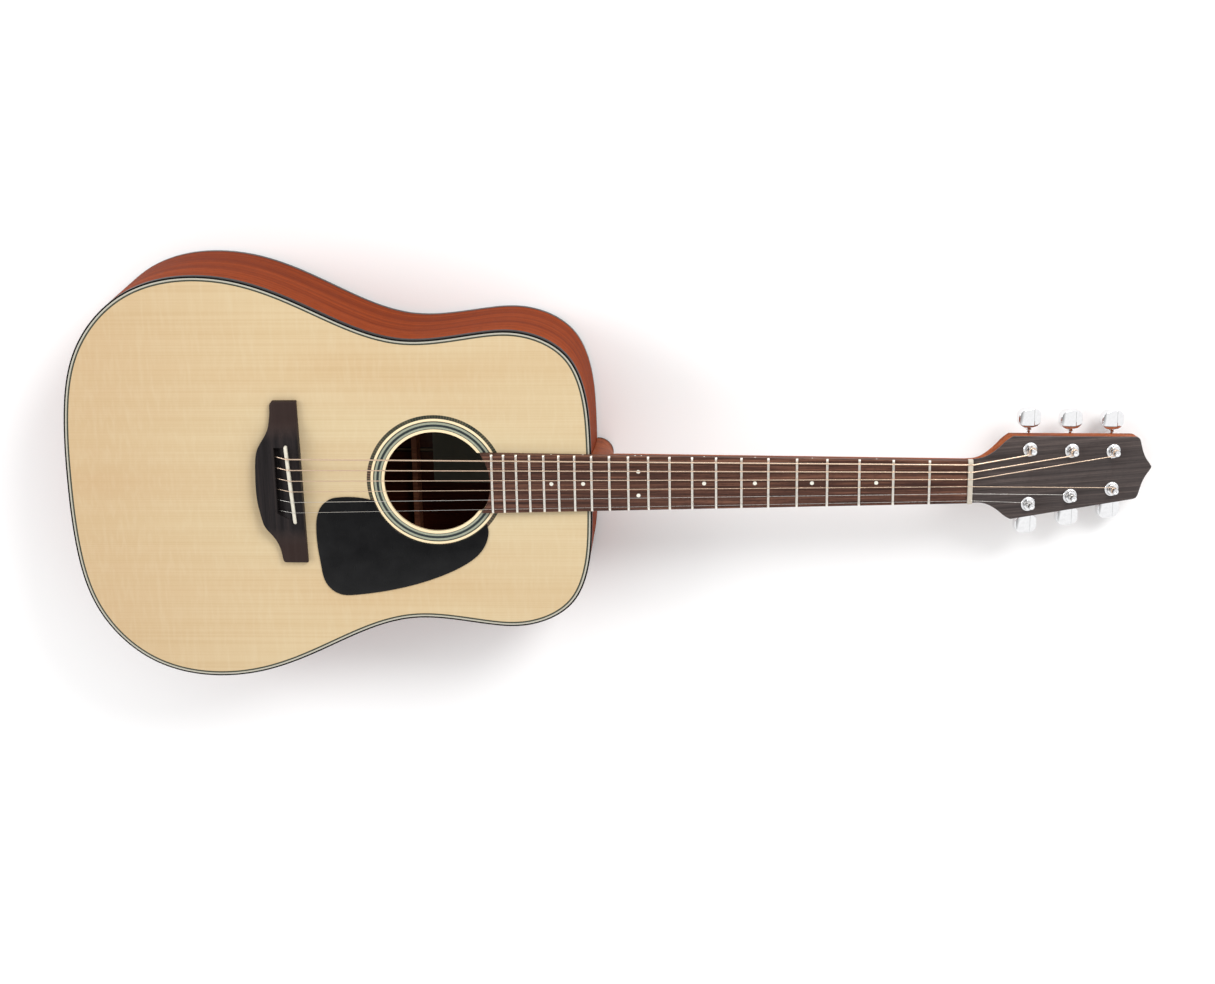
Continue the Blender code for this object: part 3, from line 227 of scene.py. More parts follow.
class Look:
    """A procedural material being put together from nodes. LOOKS keeps it under its name."""

    def __init__(self, name, roughness=0.5, metallic=0.0, coat=0.0, specular=0.5):
        self.material = bpy.data.materials.new(name)
        LOOKS[name] = self.material
        self.material.use_nodes = True
        self.tree = self.material.node_tree
        self.shader = self.tree.nodes["Principled BSDF"]
        self.put(self.shader, "Roughness", roughness)
        self.put(self.shader, "Metallic", metallic)
        self.put(self.shader, "Coat Weight", coat)
        self.put(self.shader, "Coat Roughness", 0.06)
        self.put(self.shader, "Specular IOR Level", specular)

    def put(self, node, socket, value):
        if isinstance(value, bpy.types.NodeSocket):
            self.tree.links.new(value, node.inputs[socket])
        else:
            node.inputs[socket].default_value = value

    def node(self, kind, inputs=None, **settings):
        made = self.tree.nodes.new("ShaderNode" + kind)
        for key, value in settings.items():
            setattr(made, key, value)
        for socket, value in (inputs or {}).items():
            self.put(made, socket, value)
        return made

    def stored(self, name):
        """A vector kept on the mesh for each of its points."""
        return self.node("Attribute", attribute_name=name).outputs["Vector"]

    def split(self, vector):
        return self.node("SeparateXYZ", {"Vector": vector}).outputs

    def noise(self, size, detail=3.0, rough=0.55, warp=0.0, place=None):
        """Noise of a size in each direction. Without a place it lies in the piece's own frame, "grain"."""
        vector = self.stored("grain") if place is None else place
        scale = tuple(1 / s for s in size)
        scaled = self.node("Mapping", {"Vector": vector, "Scale": scale}).outputs["Vector"]
        return self.node("TexNoise", {"Vector": scaled, "Scale": 1.0, "Detail": detail, "Roughness": rough,
                                      "Distortion": warp}).outputs["Fac"]

    def mirrored(self, parts, across):
        """The same place on both sides of the middle, for bookmatched plates."""
        return self.node("CombineXYZ", {"X": parts["X"], "Y": across, "Z": parts["Z"]}).outputs[0]

    def ramp(self, fac, *stops):
        made = self.node("ValToRGB", {"Fac": fac})
        fill_ramp(made.color_ramp, stops)
        return made.outputs["Color"]

    def mix(self, fac, a, b):
        made = self.node("Mix", data_type="RGBA", blend_type="MIX")
        self.put(made, 0, fac)
        for socket, value in ((6, a), (7, b)):
            self.put(made, socket, value if isinstance(value, bpy.types.NodeSocket) else (*value, 1.0))
        return made.outputs[2]

    def math(self, operation, a, b=0.0, c=0.0):
        return self.node("Math", dict(enumerate((a, b, c))), operation=operation).outputs[0]

    def spread(self, fac, low, high, start=0.0, end=1.0):
        """start..end carried to low..high."""
        ends = {"Value": fac, "From Min": start, "From Max": end, "To Min": low, "To Max": high}
        return self.node("MapRange", ends).outputs["Result"]

    def finish(self, colour, rough=None, height=None, distance=0.0, strength=0.5):
        """Wires up the shader and hands the material over."""
        self.put(self.shader, "Base Color", colour)
        if rough is not None:
            self.put(self.shader, "Roughness", rough)
        if height is not None:
            bump = self.node("Bump", {"Height": height, "Distance": distance, "Strength": strength})
            self.put(self.shader, "Normal", bump.outputs["Normal"])
        return self.material


def fill_ramp(ramp, stops):
    """Stops of (place, colour or grey)."""
    while len(ramp.elements) < len(stops):
        ramp.elements.new(0.5)
    for element, (place, colour) in zip(ramp.elements, stops):
        element.position = place
        element.color = (*colour, 1.0) if not isinstance(colour, float) else (colour, colour, colour, 1.0)


def srgb(red, green, blue):
    """A colour given as it looks on screen, from 0 to 255, in linear light."""
    shares = (red / 255, green / 255, blue / 255)
    return tuple(c / 12.92 if c <= 10 / 255 else ((c + 0.055) / 1.055) ** 2.4 for c in shares)


def wood(name, shades, line, streak, roughness, specular, pores=0.5, pore=(0.006, 0.0003, 0.0003),
         contrast=0.5, relief=0.00003, wings=None, kept=False):
    """Wood with shades from dark to light. line and streak are the sizes (along x, across, through) of the
    fine grain and of the broad bands; pores is how dark its open pores are. A kept CAD node stores no grain,
    so its object's own coordinates serve."""
    look = Look(name, roughness, specular=specular)
    shades = [srgb(*shade) for shade in shades]

    def noise(size, detail, rough, warp=0.0):
        place = look.node("TexCoord").outputs["Object"] if kept else None
        return look.noise(size, detail, rough, warp, place)

    fine = noise(line, 4.0, 0.6, 0.15)
    broad = noise(streak, 3.0, 0.5, 0.3)
    mixed = look.math("MULTIPLY", broad, 1 - contrast)
    mixed = look.math("ADD", look.math("MULTIPLY", fine, contrast), mixed)
    colour = look.ramp(mixed, *zip((0.36, 0.50, 0.64), shades))
    height = fine
    if pores:
        open_pore = look.ramp(noise(pore, 1.0, 0.5), (0.60, 0.0), (0.68, 1.0))
        darker = tuple(c * 0.45 for c in shades[0])
        colour = look.mix(look.math("MULTIPLY", open_pore, pores), colour, darker)
        height = look.math("SUBTRACT", fine, open_pore)
    if wings:
        across = look.math("ABSOLUTE", look.split(look.stored("grain"))["Y"])
        out = look.spread(across, 0.0, 1.0, 0.044, 0.058)
        colour = look.mix(look.math("MULTIPLY", out, 0.6), colour, srgb(*wings))
    return look.finish(colour, look.spread(broad, roughness - 0.06, roughness + 0.08), height, relief)


def spruce():
    """Bookmatched soundboard: fine growth rings along x, closest at the seam, broad tints and some silk."""
    look = Look("spruce_top", 0.30, coat=0.15, specular=0.35)
    parts = look.split(look.stored("grain"))
    across = look.math("ABSOLUTE", parts["Y"])
    squeezed = look.math("MULTIPLY", across, look.math("SUBTRACT", 1.0, look.math("MULTIPLY", across, 1.9)))
    place = look.mirrored(parts, squeezed)
    rings = look.noise((0.42, 0.00085, 1.0), 2.0, warp=0.05, place=place)
    bands = look.noise((0.55, 0.0075, 1.0), 2.0, warp=0.1, place=place)
    tint = look.noise((0.50, 0.060, 1.0), 2.0, warp=0.2, place=place)
    silk = look.noise((0.0045, 0.016, 1.0), 2.0, warp=0.3, place=place)
    shades = (0.30, srgb(205, 178, 138)), (0.5, srgb(209, 187, 149)), (0.72, srgb(214, 196, 158))
    base = look.ramp(tint, *shades)
    # Darker and pinker towards the tail.
    tail = look.spread(parts["X"], 0.0, 1.0, -0.66, -0.83)
    seam = look.math("LESS_THAN", look.math("ABSOLUTE", parts["Y"]), 0.00016)
    for share, colour in (
        (look.math("MULTIPLY", tail, 0.55), srgb(193, 160, 121)),
        (look.ramp(bands, (0.40, 0.15), (0.62, 0.0)), srgb(190, 162, 118)),
        (look.ramp(rings, (0.38, 0.17), (0.56, 0.0)), srgb(178, 144, 98)),
        (look.ramp(silk, (0.45, 0.0), (0.75, 0.16)), srgb(219, 205, 173)),
        (look.math("MULTIPLY", seam, 0.30), srgb(170, 130, 82)),
    ):
        base = look.mix(share, base, colour)
    return look.finish(base, look.spread(silk, 0.26, 0.36), rings, 0.00002, 0.35)


def back_wood():
    """Bookmatched mahogany back with a dark and pale centre strip; its inner face carries painted shade."""
    look = Look("mahogany_back", 0.32, coat=0.06, specular=0.2)
    parts = look.split(look.stored("grain"))
    across = look.math("ABSOLUTE", parts["Y"])
    place = look.mirrored(parts, across)
    fine = look.noise((0.10, 0.0011, 1.0), 4.0, 0.6, 0.2, place)
    broad = look.noise((0.45, 0.020, 1.0), 3.0, 0.6, 0.5, place)
    pore = look.ramp(look.noise((0.006, 0.00032, 1.0), 1.0, 0.6, 0.0, place), (0.60, 0.0), (0.69, 1.0))
    mixed = look.math("ADD", look.math("MULTIPLY", fine, 0.5), look.math("MULTIPLY", broad, 0.5))
    base = look.ramp(mixed, (0.36, srgb(90, 37, 19)), (0.5, srgb(124, 57, 29)), (0.64, srgb(150, 76, 41)))
    # Painted shade: the inner face, inside the body, is mixed most of the way to near black.
    rise = look.math("MULTIPLY_ADD", parts["X"], -DEPTH_SLOPE, parts["Z"])
    inside = look.math("GREATER_THAN", rise, back_z(0) + BACK_THICK / 2)
    for share, colour in (
        (look.math("MULTIPLY", pore, 0.7), srgb(58, 24, 16)),
        (look.math("LESS_THAN", across, 0.0026), srgb(36, 24, 20)),
        (look.math("LESS_THAN", across, 0.0011), srgb(200, 180, 140)),
        (look.math("MULTIPLY", inside, 0.8), srgb(30, 12, 9)),
    ):
        base = look.mix(share, base, colour)
    return look.finish(base, look.spread(broad, 0.24, 0.38), look.math("SUBTRACT", fine, pore), 0.00003)


def plastic(name, shade, roughness=0.18, speck=0.25, size=0.004, specular=0.5):
    """Moulded or polished plastic: a faint cloudiness and the finest haze of polishing marks."""
    look = Look(name, roughness, specular=specular)
    colour = srgb(*shade)
    lighter = tuple(min(1.0, c * (1 + speck) + 0.004) for c in colour)
    cloud = look.noise((size, size, size))
    marks = look.noise((size / 12, size / 2, size / 2), 2.0)
    return look.finish(look.ramp(cloud, (0.3, colour), (0.75, lighter)),
                       look.spread(marks, roughness * 0.8, roughness * 1.3), marks, 0.000004, 0.4)


def dashed():
    """The rosette's outer ring: short dark and brown slips set across the ring."""
    slips = 150
    look = Look("dashed_purfling", 0.35)
    parts = look.split(look.stored("grain"))
    turns = look.math("MULTIPLY", look.math("ARCTAN2", parts["Y"], parts["X"]), slips / (2 * math.pi))
    slip = look.math("GREATER_THAN", look.math("FRACT", turns), 0.68)
    patch = look.noise((0.03, 0.03, 0.03), 2.0)
    dark = look.ramp(patch, (0.42, srgb(30, 34, 26)), (0.5, srgb(56, 60, 44)), (0.6, srgb(64, 48, 38)))
    pale = look.ramp(patch, (0.4, srgb(72, 76, 58)), (0.6, srgb(128, 100, 78)))
    return look.finish(look.mix(look.math("MULTIPLY", slip, 0.75), dark, pale))


def metal(name, colour, roughness=0.08, wear=0.05):
    """Metal with faint smears and fine scratches."""
    look = Look(name, roughness, metallic=1.0)
    smear = look.noise((0.004, 0.004, 0.004))
    scratch = look.noise((0.0002, 0.003, 0.003), 2.0)
    dull = tuple(c * 0.93 for c in colour)
    rough = look.spread(look.math("MULTIPLY", smear, scratch), roughness * 0.8, roughness + wear)
    return look.finish(look.ramp(smear, (0.3, dull), (0.7, colour)), rough, scratch, 0.000001, 0.3)


def wound(name, colour, groove):
    """A string's winding: bands round it from the length stored along it, with painted shade in the grooves.
    """
    look = Look(name, 0.32, metallic=1.0)
    along = look.split(look.stored("along"))["X"]
    turn = look.math("SINE", look.math("MULTIPLY", along, 2 * math.pi / groove))
    share = look.math("MULTIPLY_ADD", turn, 0.5, 0.5)
    # Painted shade: the colour darkens to 60 % in the grooves between the wraps.
    dark = tuple(c * 0.6 for c in colour)
    shade = look.ramp(share, (0.0, dark), (0.45, colour))
    return look.finish(shade, look.spread(share, 0.42, 0.26), share, 0.00003)


def make_looks():
    spruce()
    back_wood()
    wood("mahogany_side", ((90, 33, 14), (124, 51, 21), (148, 67, 31)), (0.16, 0.0008, 1), (0.5, 0.009, 1),
         0.55, 0.02, 0.6, (0.007, 0.0003, 1), contrast=0.45)
    wood("mahogany_neck", ((104, 48, 24), (138, 70, 37), (164, 90, 52)), (0.10, 0.0012, 0.0012),
         (0.4, 0.010, 0.010), 0.45, 0.04)
    wood("rosewood_board", ((40, 24, 20), (80, 51, 41), (126, 86, 68)), (0.07, 0.0009, 0.0009),
         (0.22, 0.0035, 0.0035), 0.50, 0.22, 0.75, (0.005, 0.0003, 0.0003), relief=0.00005)
    wood("rosewood_overlay", ((40, 33, 32), (63, 54, 52), (89, 77, 73)), (0.09, 0.0008, 0.0008),
         (0.3, 0.004, 0.004), 0.36, 0.3)
    wood("rosewood_bridge", ((20, 16, 16), (30, 26, 27), (44, 37, 36)), (0.0009, 0.07, 0.0009),
         (0.005, 0.2, 0.005), 0.50, 0.16, 0.5, (0.0003, 0.005, 0.0003), 0.4, wings=(56, 40, 35))
    wood("brace_spruce", ((176, 138, 92), (204, 168, 120), (222, 192, 148)), (0.09, 0.0010, 0.0010),
         (0.3, 0.012, 0.012), 0.7, 0.4, 0.0, kept=True)
    wood("inner_mahogany", ((96, 52, 34), (128, 76, 50), (152, 98, 66)), (0.08, 0.0012, 0.0012),
         (0.3, 0.010, 0.010), 0.7, 0.4, kept=True)
    plastic("label_paper", (104, 104, 94), 0.8, 0.1, 0.01, 0.1)
    plastic("black_binding", (9, 8, 8), 0.28, 0.25, 0.004, 0.12)
    plastic("guard_celluloid", (13, 13, 14), 0.24, 0.35, 0.02, 0.2)
    plastic("pale_purfling", (176, 172, 158), 0.3, 0.15, 0.002)
    plastic("dark_purfling", (58, 60, 48), 0.3, 0.3, 0.002)
    plastic("ink_purfling", (34, 42, 42), 0.3, 0.3, 0.002)
    plastic("green_grey_purfling", (146, 150, 132), 0.3, 0.2, 0.002)
    plastic("cream_purfling", (240, 218, 178), 0.3, 0.08, 0.002)
    dashed()
    plastic("bone", (212, 206, 190), 0.32, 0.06, 0.002)
    plastic("nut_bone", (190, 181, 166), 0.36, 0.08, 0.002)
    plastic("pearl_dot", (226, 224, 212), 0.2, 0.25, 0.0012)
    plastic("felt", (30, 28, 28), 0.9, 0.5, 0.0006, 0.1)
    metal("chrome", (0.86, 0.86, 0.87), 0.05, 0.05)
    metal("satin_chrome", (0.72, 0.72, 0.73), 0.22, 0.12)
    metal("steel", (0.58, 0.57, 0.55), 0.3, 0.2)
    metal("brass", srgb(200, 160, 90), 0.25, 0.2)
    metal("nickel_silver", (0.92, 0.88, 0.80), 0.30, 0.12)
    metal("plain_string", srgb(228, 224, 218), 0.30, 0.1)
    for string in range(3, 7):
        wound(f"winding_{string}", srgb(240, 212, 186), 0.00018 + 0.00004 * string)


make_looks()

# ---------------------------------------------------------------- meshes


def mesh_object(name, verts, faces, matrix=GUITAR):
    mesh = bpy.data.meshes.new(name)
    mesh.from_pydata([tuple(v) for v in verts], [], [tuple(f) for f in faces])
    build = bmesh.new()
    build.from_mesh(mesh)
    bmesh.ops.recalc_face_normals(build, faces=build.faces)
    build.to_mesh(mesh)
    build.free()
    obj = bpy.data.objects.new(name, mesh)
    bpy.context.scene.collection.objects.link(obj)
    obj.matrix_world = matrix
    return obj


def loft(name, rings, matrix=GUITAR, closed=False, ladder=False):
    """Skins equal rings of points in turn. A ladder's end is a strip of quads, for rings that bow."""
    size = len(rings[0])
    verts = [v for ring in rings for v in ring]
    faces = []
    for r in range(len(rings) if closed else len(rings) - 1):
        a, b = r * size, ((r + 1) % len(rings)) * size
        for i in range(size):
            j = (i + 1) % size
            faces.append((a + i, a + j, b + j, b + i))
    if not closed:
        last = len(verts) - size
        faces.append(tuple(range(size)))
        if ladder:
            for i in range(size // 2 - 1):
                far = last + size - 1 - i
                faces.append((last + i, last + i + 1, far - 1, far))
        else:
            faces.append(tuple(range(last, len(verts))))
    return mesh_object(name, verts, faces, matrix)


def circle(radius, sides, z=0.0):
    angles = [2 * math.pi * i / sides for i in range(sides)]
    return [(radius * math.cos(a), radius * math.sin(a), z) for a in angles]


def lathe(name, profile, sides, matrix, closed=False):
    """A profile of (radius, height) turned about local Z; a closed one is a ring that stays off the axis."""
    return loft(name, [circle(radius, sides, z) for radius, z in profile], matrix, closed)


def boolean(obj, tools, operation="DIFFERENCE"):
    """Cuts helper meshes away, or joins them on, and removes them."""
    for tool in tools:
        step = obj.modifiers.new(tool.name, "BOOLEAN")
        step.operation = operation
        step.solver = "EXACT"
        step.object = tool
    settle(obj)
    for tool in tools:
        bpy.data.objects.remove(tool, do_unlink=True)
    return obj


def settle(obj):
    """Applies the object's modifiers to its mesh."""
    bpy.context.view_layer.update()
    graph = bpy.context.evaluated_depsgraph_get()
    mesh = bpy.data.meshes.new_from_object(obj.evaluated_get(graph))
    obj.modifiers.clear()
    obj.data = mesh
    return obj


def bevel(obj, width, segments=2):
    step = obj.modifiers.new("edge", "BEVEL")
    step.width = width
    step.segments = segments
    step.limit_method = "ANGLE"
    step.angle_limit = math.radians(60)
    step.use_clamp_overlap = True
    return settle(obj)


def join(name, objects):
    """One object from several that share a frame."""
    first = objects[0]
    build = bmesh.new()
    for obj in objects:
        build.from_mesh(obj.data)
    mesh = bpy.data.meshes.new(name)
    build.to_mesh(mesh)
    build.free()
    first.data = mesh
    for obj in objects[1:]:
        bpy.data.objects.remove(obj, do_unlink=True)
    first.name = name
    return first


def piece(obj, look, nodes=(), body="guitar", sharp=35):
    """Gives a finished mesh its material, its smooth shading and its body, and hides the CAD nodes it stands
    for.
    """
    obj.data.materials.clear()
    obj.data.materials.append(LOOKS[look])
    obj.data.shade_smooth()
    obj.data.set_sharp_from_angle(angle=math.radians(sharp))
    if "grain" not in obj.data.attributes:
        store(obj, "grain", [tuple(v.co) for v in obj.data.vertices])
    obj.data.transform(obj.matrix_world)
    obj.matrix_world = Matrix()
    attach(obj, body)
    if nodes:
        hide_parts(*nodes)


def store(obj, name, values):
    """Keeps one vector per vertex on the mesh, for a material to read."""
    attribute = obj.data.attributes.new(name, "FLOAT_VECTOR", "POINT")
    attribute.data.foreach_set("vector", np.asarray(values, np.float32).ravel())


# ---------------------------------------------------------------- outlines


def spline(knots, closed=False, per_span=24):
    """A dense smooth curve through the knots, a cubic in chord length; open curves end straight."""
    p = np.array(knots, float)
    n = len(p)
    spans = n if closed else n - 1
    h = np.linalg.norm(np.roll(p, -1, axis=0) - p, axis=1)
    system, right = np.eye(n), np.zeros((n, p.shape[1]))
    for i in range(n):
        if not closed and i in (0, n - 1):
            continue
        after = (i + 1) % n
        system[i, i - 1] += h[i - 1]
        system[i, i] += 2 * (h[i - 1] + h[i]) - 1
        system[i, after] += h[i]
        right[i] = 6 * ((p[after] - p[i]) / h[i] - (p[i] - p[i - 1]) / h[i - 1])
    bend = np.linalg.solve(system, right)
    dense = []
    for i in range(spans):
        after = (i + 1) % n
        for t in np.arange(per_span) / per_span * h[i]:
            s = h[i] - t
            dense.append(
                (bend[i] * s**3 + bend[after] * t**3) / (6 * h[i])
                + (p[i] / h[i] - bend[i] * h[i] / 6) * s
                + (p[after] / h[i] - bend[after] * h[i] / 6) * t
            )
    if not closed:
        dense.append(p[-1])
    return np.array(dense)


def spaced(curve, count):
    """The closed curve resampled to evenly spaced points, starting at its first point."""
    loop = np.vstack([curve, curve[:1]])
    along = np.concatenate([[0], np.cumsum(np.linalg.norm(np.diff(loop, axis=0), axis=1))])
    at = np.linspace(0, along[-1], count + 1)[:-1]
    return np.column_stack([np.interp(at, along, loop[:, k]) for k in (0, 1)])


def body_outline(inset):
    """The body's outline moved inwards: from the tail's centre along the bass side to the neck, and back."""
    half = [(TAIL_EDGE + distance, width) for distance, width in HALF_OUTLINE]
    knots = [(TAIL_EDGE, 0.0), *half, (NECK_EDGE, 0.0), *((x, -y) for x, y in reversed(half))]
    points = spaced(spline(knots, closed=True), OUTLINE_POINTS)
    run = np.roll(points, -1, axis=0) - np.roll(points, 1, axis=0)
    inward = np.column_stack([run[:, 1], -run[:, 0]]) / np.linalg.norm(run, axis=1)[:, None]
    return points + (inset + OUTLINE_EASE) * inward


# ---------------------------------------------------------------- body


def band(name, profile, look, nodes=()):
    """A ring that follows the body's outline. profile gives its (inset, height) corners; a height may be
    a function of x."""
    lines = []
    for inset, height in profile:
        outline = body_outline(inset)
        lines.append([(x, y, height(x) if callable(height) else height) for x, y in outline])
    piece(loft(name, list(zip(*lines)), closed=True), look, nodes)


def make_soundboard():
    """The plate as one closed strip of sections, along rays from the hole's centre."""
    outer = body_outline(TOP_INSET)
    ray = np.arctan2(outer[:, 1], outer[:, 0] - HOLE_X)
    outer, ray = outer[np.argsort(ray)], np.sort(ray)
    corners = [math.asin(NOTCH_HALF / r) for r in (HOLE_RADIUS, BOARD_END_RADIUS)]
    angles = np.sort(np.concatenate([ray, corners, np.negative(corners)]))
    rings = []
    for a in angles:
        point = (float(np.interp(a, ray, outer[:, 0])), float(np.interp(a, ray, outer[:, 1])))
        notch = NOTCH_HALF / max(abs(math.sin(a)), 1e-6) if math.cos(a) > 0 else 0.0
        radius = min(BOARD_END_RADIUS, max(HOLE_RADIUS, notch))
        edge, hole = ((HOLE_X + r * math.cos(a), r * math.sin(a)) for r in (ROSETTE_RADIUS + 0.00003, radius))
        rebate = -ROSETTE_THICK - 0.00005
        rings.append([(*point, 0.0), (*edge, 0.0), (*edge, rebate), (*hole, rebate), (*hole, -TOP_THICK),
                      (*point, -TOP_THICK)])
    piece(loft("soundboard_top", rings, closed=True), "spruce_top", ["soundboard"])


def make_rosette():
    """Rings inlaid round the hole; they stop under the sides of the fretboard."""
    steps = 200
    for name, inner, outer, look in ROSETTE:
        rings = []
        for k in range(steps + 1):
            ring = []
            for r, z in ((inner, -ROSETTE_THICK), (outer, -ROSETTE_THICK), (outer, 0.0), (inner, 0.0)):
                start = math.asin(NOTCH_HALF / r)
                a = lerp(start, 2 * math.pi - start, k / steps)
                ring.append((r * math.cos(a), r * math.sin(a), z))
            rings.append(ring)
        piece(loft(name, rings, HOLE), look, ["rosette"])


def make_label():
    """A blank paper label glued inside the back, under the sound hole."""
    corner, centre, half = 0.003, (-0.4930, 0.0), (0.0305, 0.034)
    rings = []
    for lift in (0.00002, 0.00025):
        outline = rounded_rectangle(centre, half, corner, 0)
        rings.append([(x, y, back_z(x) + BACK_THICK + lift) for x, y, _ in outline])
    piece(loft("maker_label", rings), "label_paper")


def make_body():
    make_soundboard()
    for name, outer, inner, look in PURFLING:
        band(name, ((outer, -0.0018), (outer, 0.0), (inner, 0.0), (inner, -0.0018)), look)
    round_edge = 0.0004
    band("binding_top", (
        (0, -TOP_BINDING_TALL), (0, -round_edge), (round_edge * 0.3, -round_edge * 0.3), (round_edge, 0.0),
        (BINDING_WIDE, 0.0), (BINDING_WIDE, -TOP_BINDING_TALL),
    ), "black_binding", ["top_binding"])
    back_profile = ((0, BACK_BINDING_TALL), (0, round_edge), (round_edge * 0.3, round_edge * 0.3),
                    (round_edge, 0), (BINDING_WIDE, 0), (BINDING_WIDE, BACK_BINDING_TALL))
    band("binding_back", [(inset, lambda x, up=up: back_z(x) + up) for inset, up in back_profile],
         "black_binding", ["back_binding"])
    plate = body_outline(BINDING_WIDE + 0.00005)
    rings = [[(x, y, back_z(x) + lift) for x, y in plate] for lift in (0.00002, BACK_THICK)]
    piece(loft("back_plate", rings), "mahogany_back", ["back"])
    for name, hand, node in (("side_bass_wood", 1, "side_bass"), ("side_treble_wood", -1, "side_treble")):
        make_side(name, hand, node)
    make_rosette()
    make_label()


def make_side(name, hand, node):
    """One side from the tail's centre to the heel, with the grain's coordinates stored along it."""
    neck_y = TENON_HALF + GAP
    half = OUTLINE_POINTS // 2
    lines = [body_outline(inset)[: half + 1] for inset in (0.00005, SIDE_THICK)]
    last = max(i for i in range(half + 1) if lines[0][i][1] > neck_y)
    rings, grain, along = [], [], 0.0
    before = lines[0][0]
    levels = 5
    for i in range(last + 1):
        along += float(np.linalg.norm(lines[0][i] - before))
        before = lines[0][i]
        outer, inner = ((line[i][0], hand * max(line[i][1], GAP / 2)) for line in lines)
        low, high = back_z(outer[0]) + BACK_BINDING_TALL, -TOP_BINDING_TALL
        ring = [(*outer, lerp(low, high, k / levels)) for k in range(levels + 1)]
        ring += [(*inner, lerp(high, low, k / levels)) for k in range(levels + 1)]
        rings.append(ring)
        grain += [(along, p[2], hand * 0.5) for p in ring]
    obj = loft(name, rings)
    store(obj, "grain", grain)
    piece(obj, "mahogany_side", [node])


def make_end_pin():
    frame_at = GUITAR @ Matrix.Translation((TAIL_EDGE, 0, PIN_Z)) @ Matrix.Rotation(-math.pi / 2, 4, "Y")
    knots = ((0.0066, 0.0006), (0.0069, 0.0014), (0.0060, 0.0026), (0.0044, 0.0040), (0.0040, 0.0058),
             (0.0046, 0.0080), (0.0062, 0.0094), (0.0071, 0.0106), (0.0069, 0.0118), (0.0058, 0.0124),
             (0.0030, PIN_OUT), (0.0003, PIN_OUT))
    profile = [(0.0028, -0.020), (0.0033, -0.018), (0.0034, 0.0005), *spline(knots, per_span=5)]
    piece(lathe("strap_pin", profile, 40, frame_at), "black_binding", ["end_pin"])
    washer = ((0.0036, 0.00005), (0.0082, 0.00005), (0.0085, 0.0003), (0.0082, 0.0006), (0.0036, 0.0006))
    piece(lathe("strap_pin_felt", washer, 40, frame_at, closed=True), "felt")


# ---------------------------------------------------------------- neck


def section(origin, along, half, top_drop, depth, power, outline=None, points=26):
    """One ring of the neck: a flat top and a rounded underside, whose half width outline(d) may give."""
    up = Vector((-along.z, 0, along.x))
    right = []
    for k in range(points + 1):
        d = depth * math.sin(0.5 * math.pi * k / points)
        share = d / depth
        y = outline(d) if outline else half * max(0.0, 1 - share**power) ** (1 / power)
        right.append((max(y, 0.0010 if k == points else 0.0), d))
    ring = [origin + Vector((0, y, 0)) - up * (top_drop + d) for y, d in right]
    return ring + [origin + Vector((0, -y, 0)) - up * (top_drop + d) for y, d in reversed(right)]


def heel_half(x, d, half):
    """Half width of the neck near the body, at the depth d under its top."""
    wood_deep = NECK_WOOD_BODY
    shaft = half * (1 - (d / wood_deep) ** SHAFT_POWER) ** (1 / SHAFT_POWER) if d < wood_deep else 0.0
    face_half = HEEL_CAP_HALF + (half - HEEL_CAP_HALF) * max(0.0, 1 - d / HEEL_DEPTH) ** 1.6
    rise = min(1.0, (HEEL_DEPTH - d) / (HEEL_DEPTH - wood_deep))
    reach = HEEL_CAP_LONG + HEEL_FILLET * (1 - math.sqrt(max(0.0, 1 - rise * rise)))
    out = (x - NECK_EDGE) / reach
    heel = face_half * math.sqrt(max(0.0, 1 - out * out)) if out < 1 else 0.0
    return max(shaft, heel)


def head_half_outline():
    """Dense half outline of the headstock, from the nut to the tip."""
    flare = [tuple(p) for p in spline(HEAD_FLARE, per_span=5)]
    scoop = [tuple(p) for p in spline(HEAD_SCOOP, per_span=5)]
    corner, shoulder = flare[-1], scoop[0]
    straight = [(lerp(corner[0], shoulder[0], share), lerp(corner[1], shoulder[1], share))
                for share in (k / 8 for k in range(1, 8))]
    return flare + straight + scoop


def make_neck():
    rings = []
    straight = Vector((math.cos(NECK_ANGLE), 0, -math.sin(NECK_ANGLE)))
    level = Vector((1, 0, 0))
    heel_front = NECK_EDGE + HEEL_CAP_LONG
    places = [NECK_EDGE + 0.0001 + (HEEL_CAP_LONG - 0.0001) * k / 8 for k in range(8)]
    places += [heel_front + HEEL_FILLET * (1 - math.cos(0.5 * math.pi * k / 22)) for k in range(23)]
    for x in places:
        turn = min(1.0, max(0.0, (x - heel_front) / HEEL_FILLET))
        drop = HEEL_DEPTH - (HEEL_DEPTH - NECK_WOOD_BODY) * math.sqrt(1 - (1 - turn) ** 2)
        top = board_bottom(x) - 0.0001
        half = board_half(x)
        rings.append(section(Vector((x, 0, top)), level, half, 0, drop + top,
                             SHAFT_POWER, lambda d, x=x, half=half: heel_half(x, d, half)))
    for x in (-0.270, -0.230, -0.190, -0.150, -0.110, -0.070, -0.035, -0.015, -0.003):
        share = x / (heel_front + HEEL_FILLET)
        depth = lerp(NECK_WOOD_NUT, NECK_WOOD_BODY, share)
        top = Vector((x, 0, board_bottom(x) - 0.0001))
        rings.append(section(top, straight, board_half(x), 0, depth, SHAFT_POWER))
    outward = Vector((math.cos(HEAD_ANGLE), 0, -math.sin(HEAD_ANGLE)))
    wood_deep = HEAD_THICK - OVERLAY_THICK - 0.0001
    for u, half in head_half_outline():
        power = 2.6 + 16 * min(1.0, u / 0.036) ** 2
        origin = HEAD_ORIGIN + outward * u
        rings.append(section(origin, outward, half, OVERLAY_THICK + 0.0001, wood_deep, power))
    neck = loft("neck_wood", rings)
    piece(boolean(neck, head_bores()), "mahogany_neck", ["neck"])


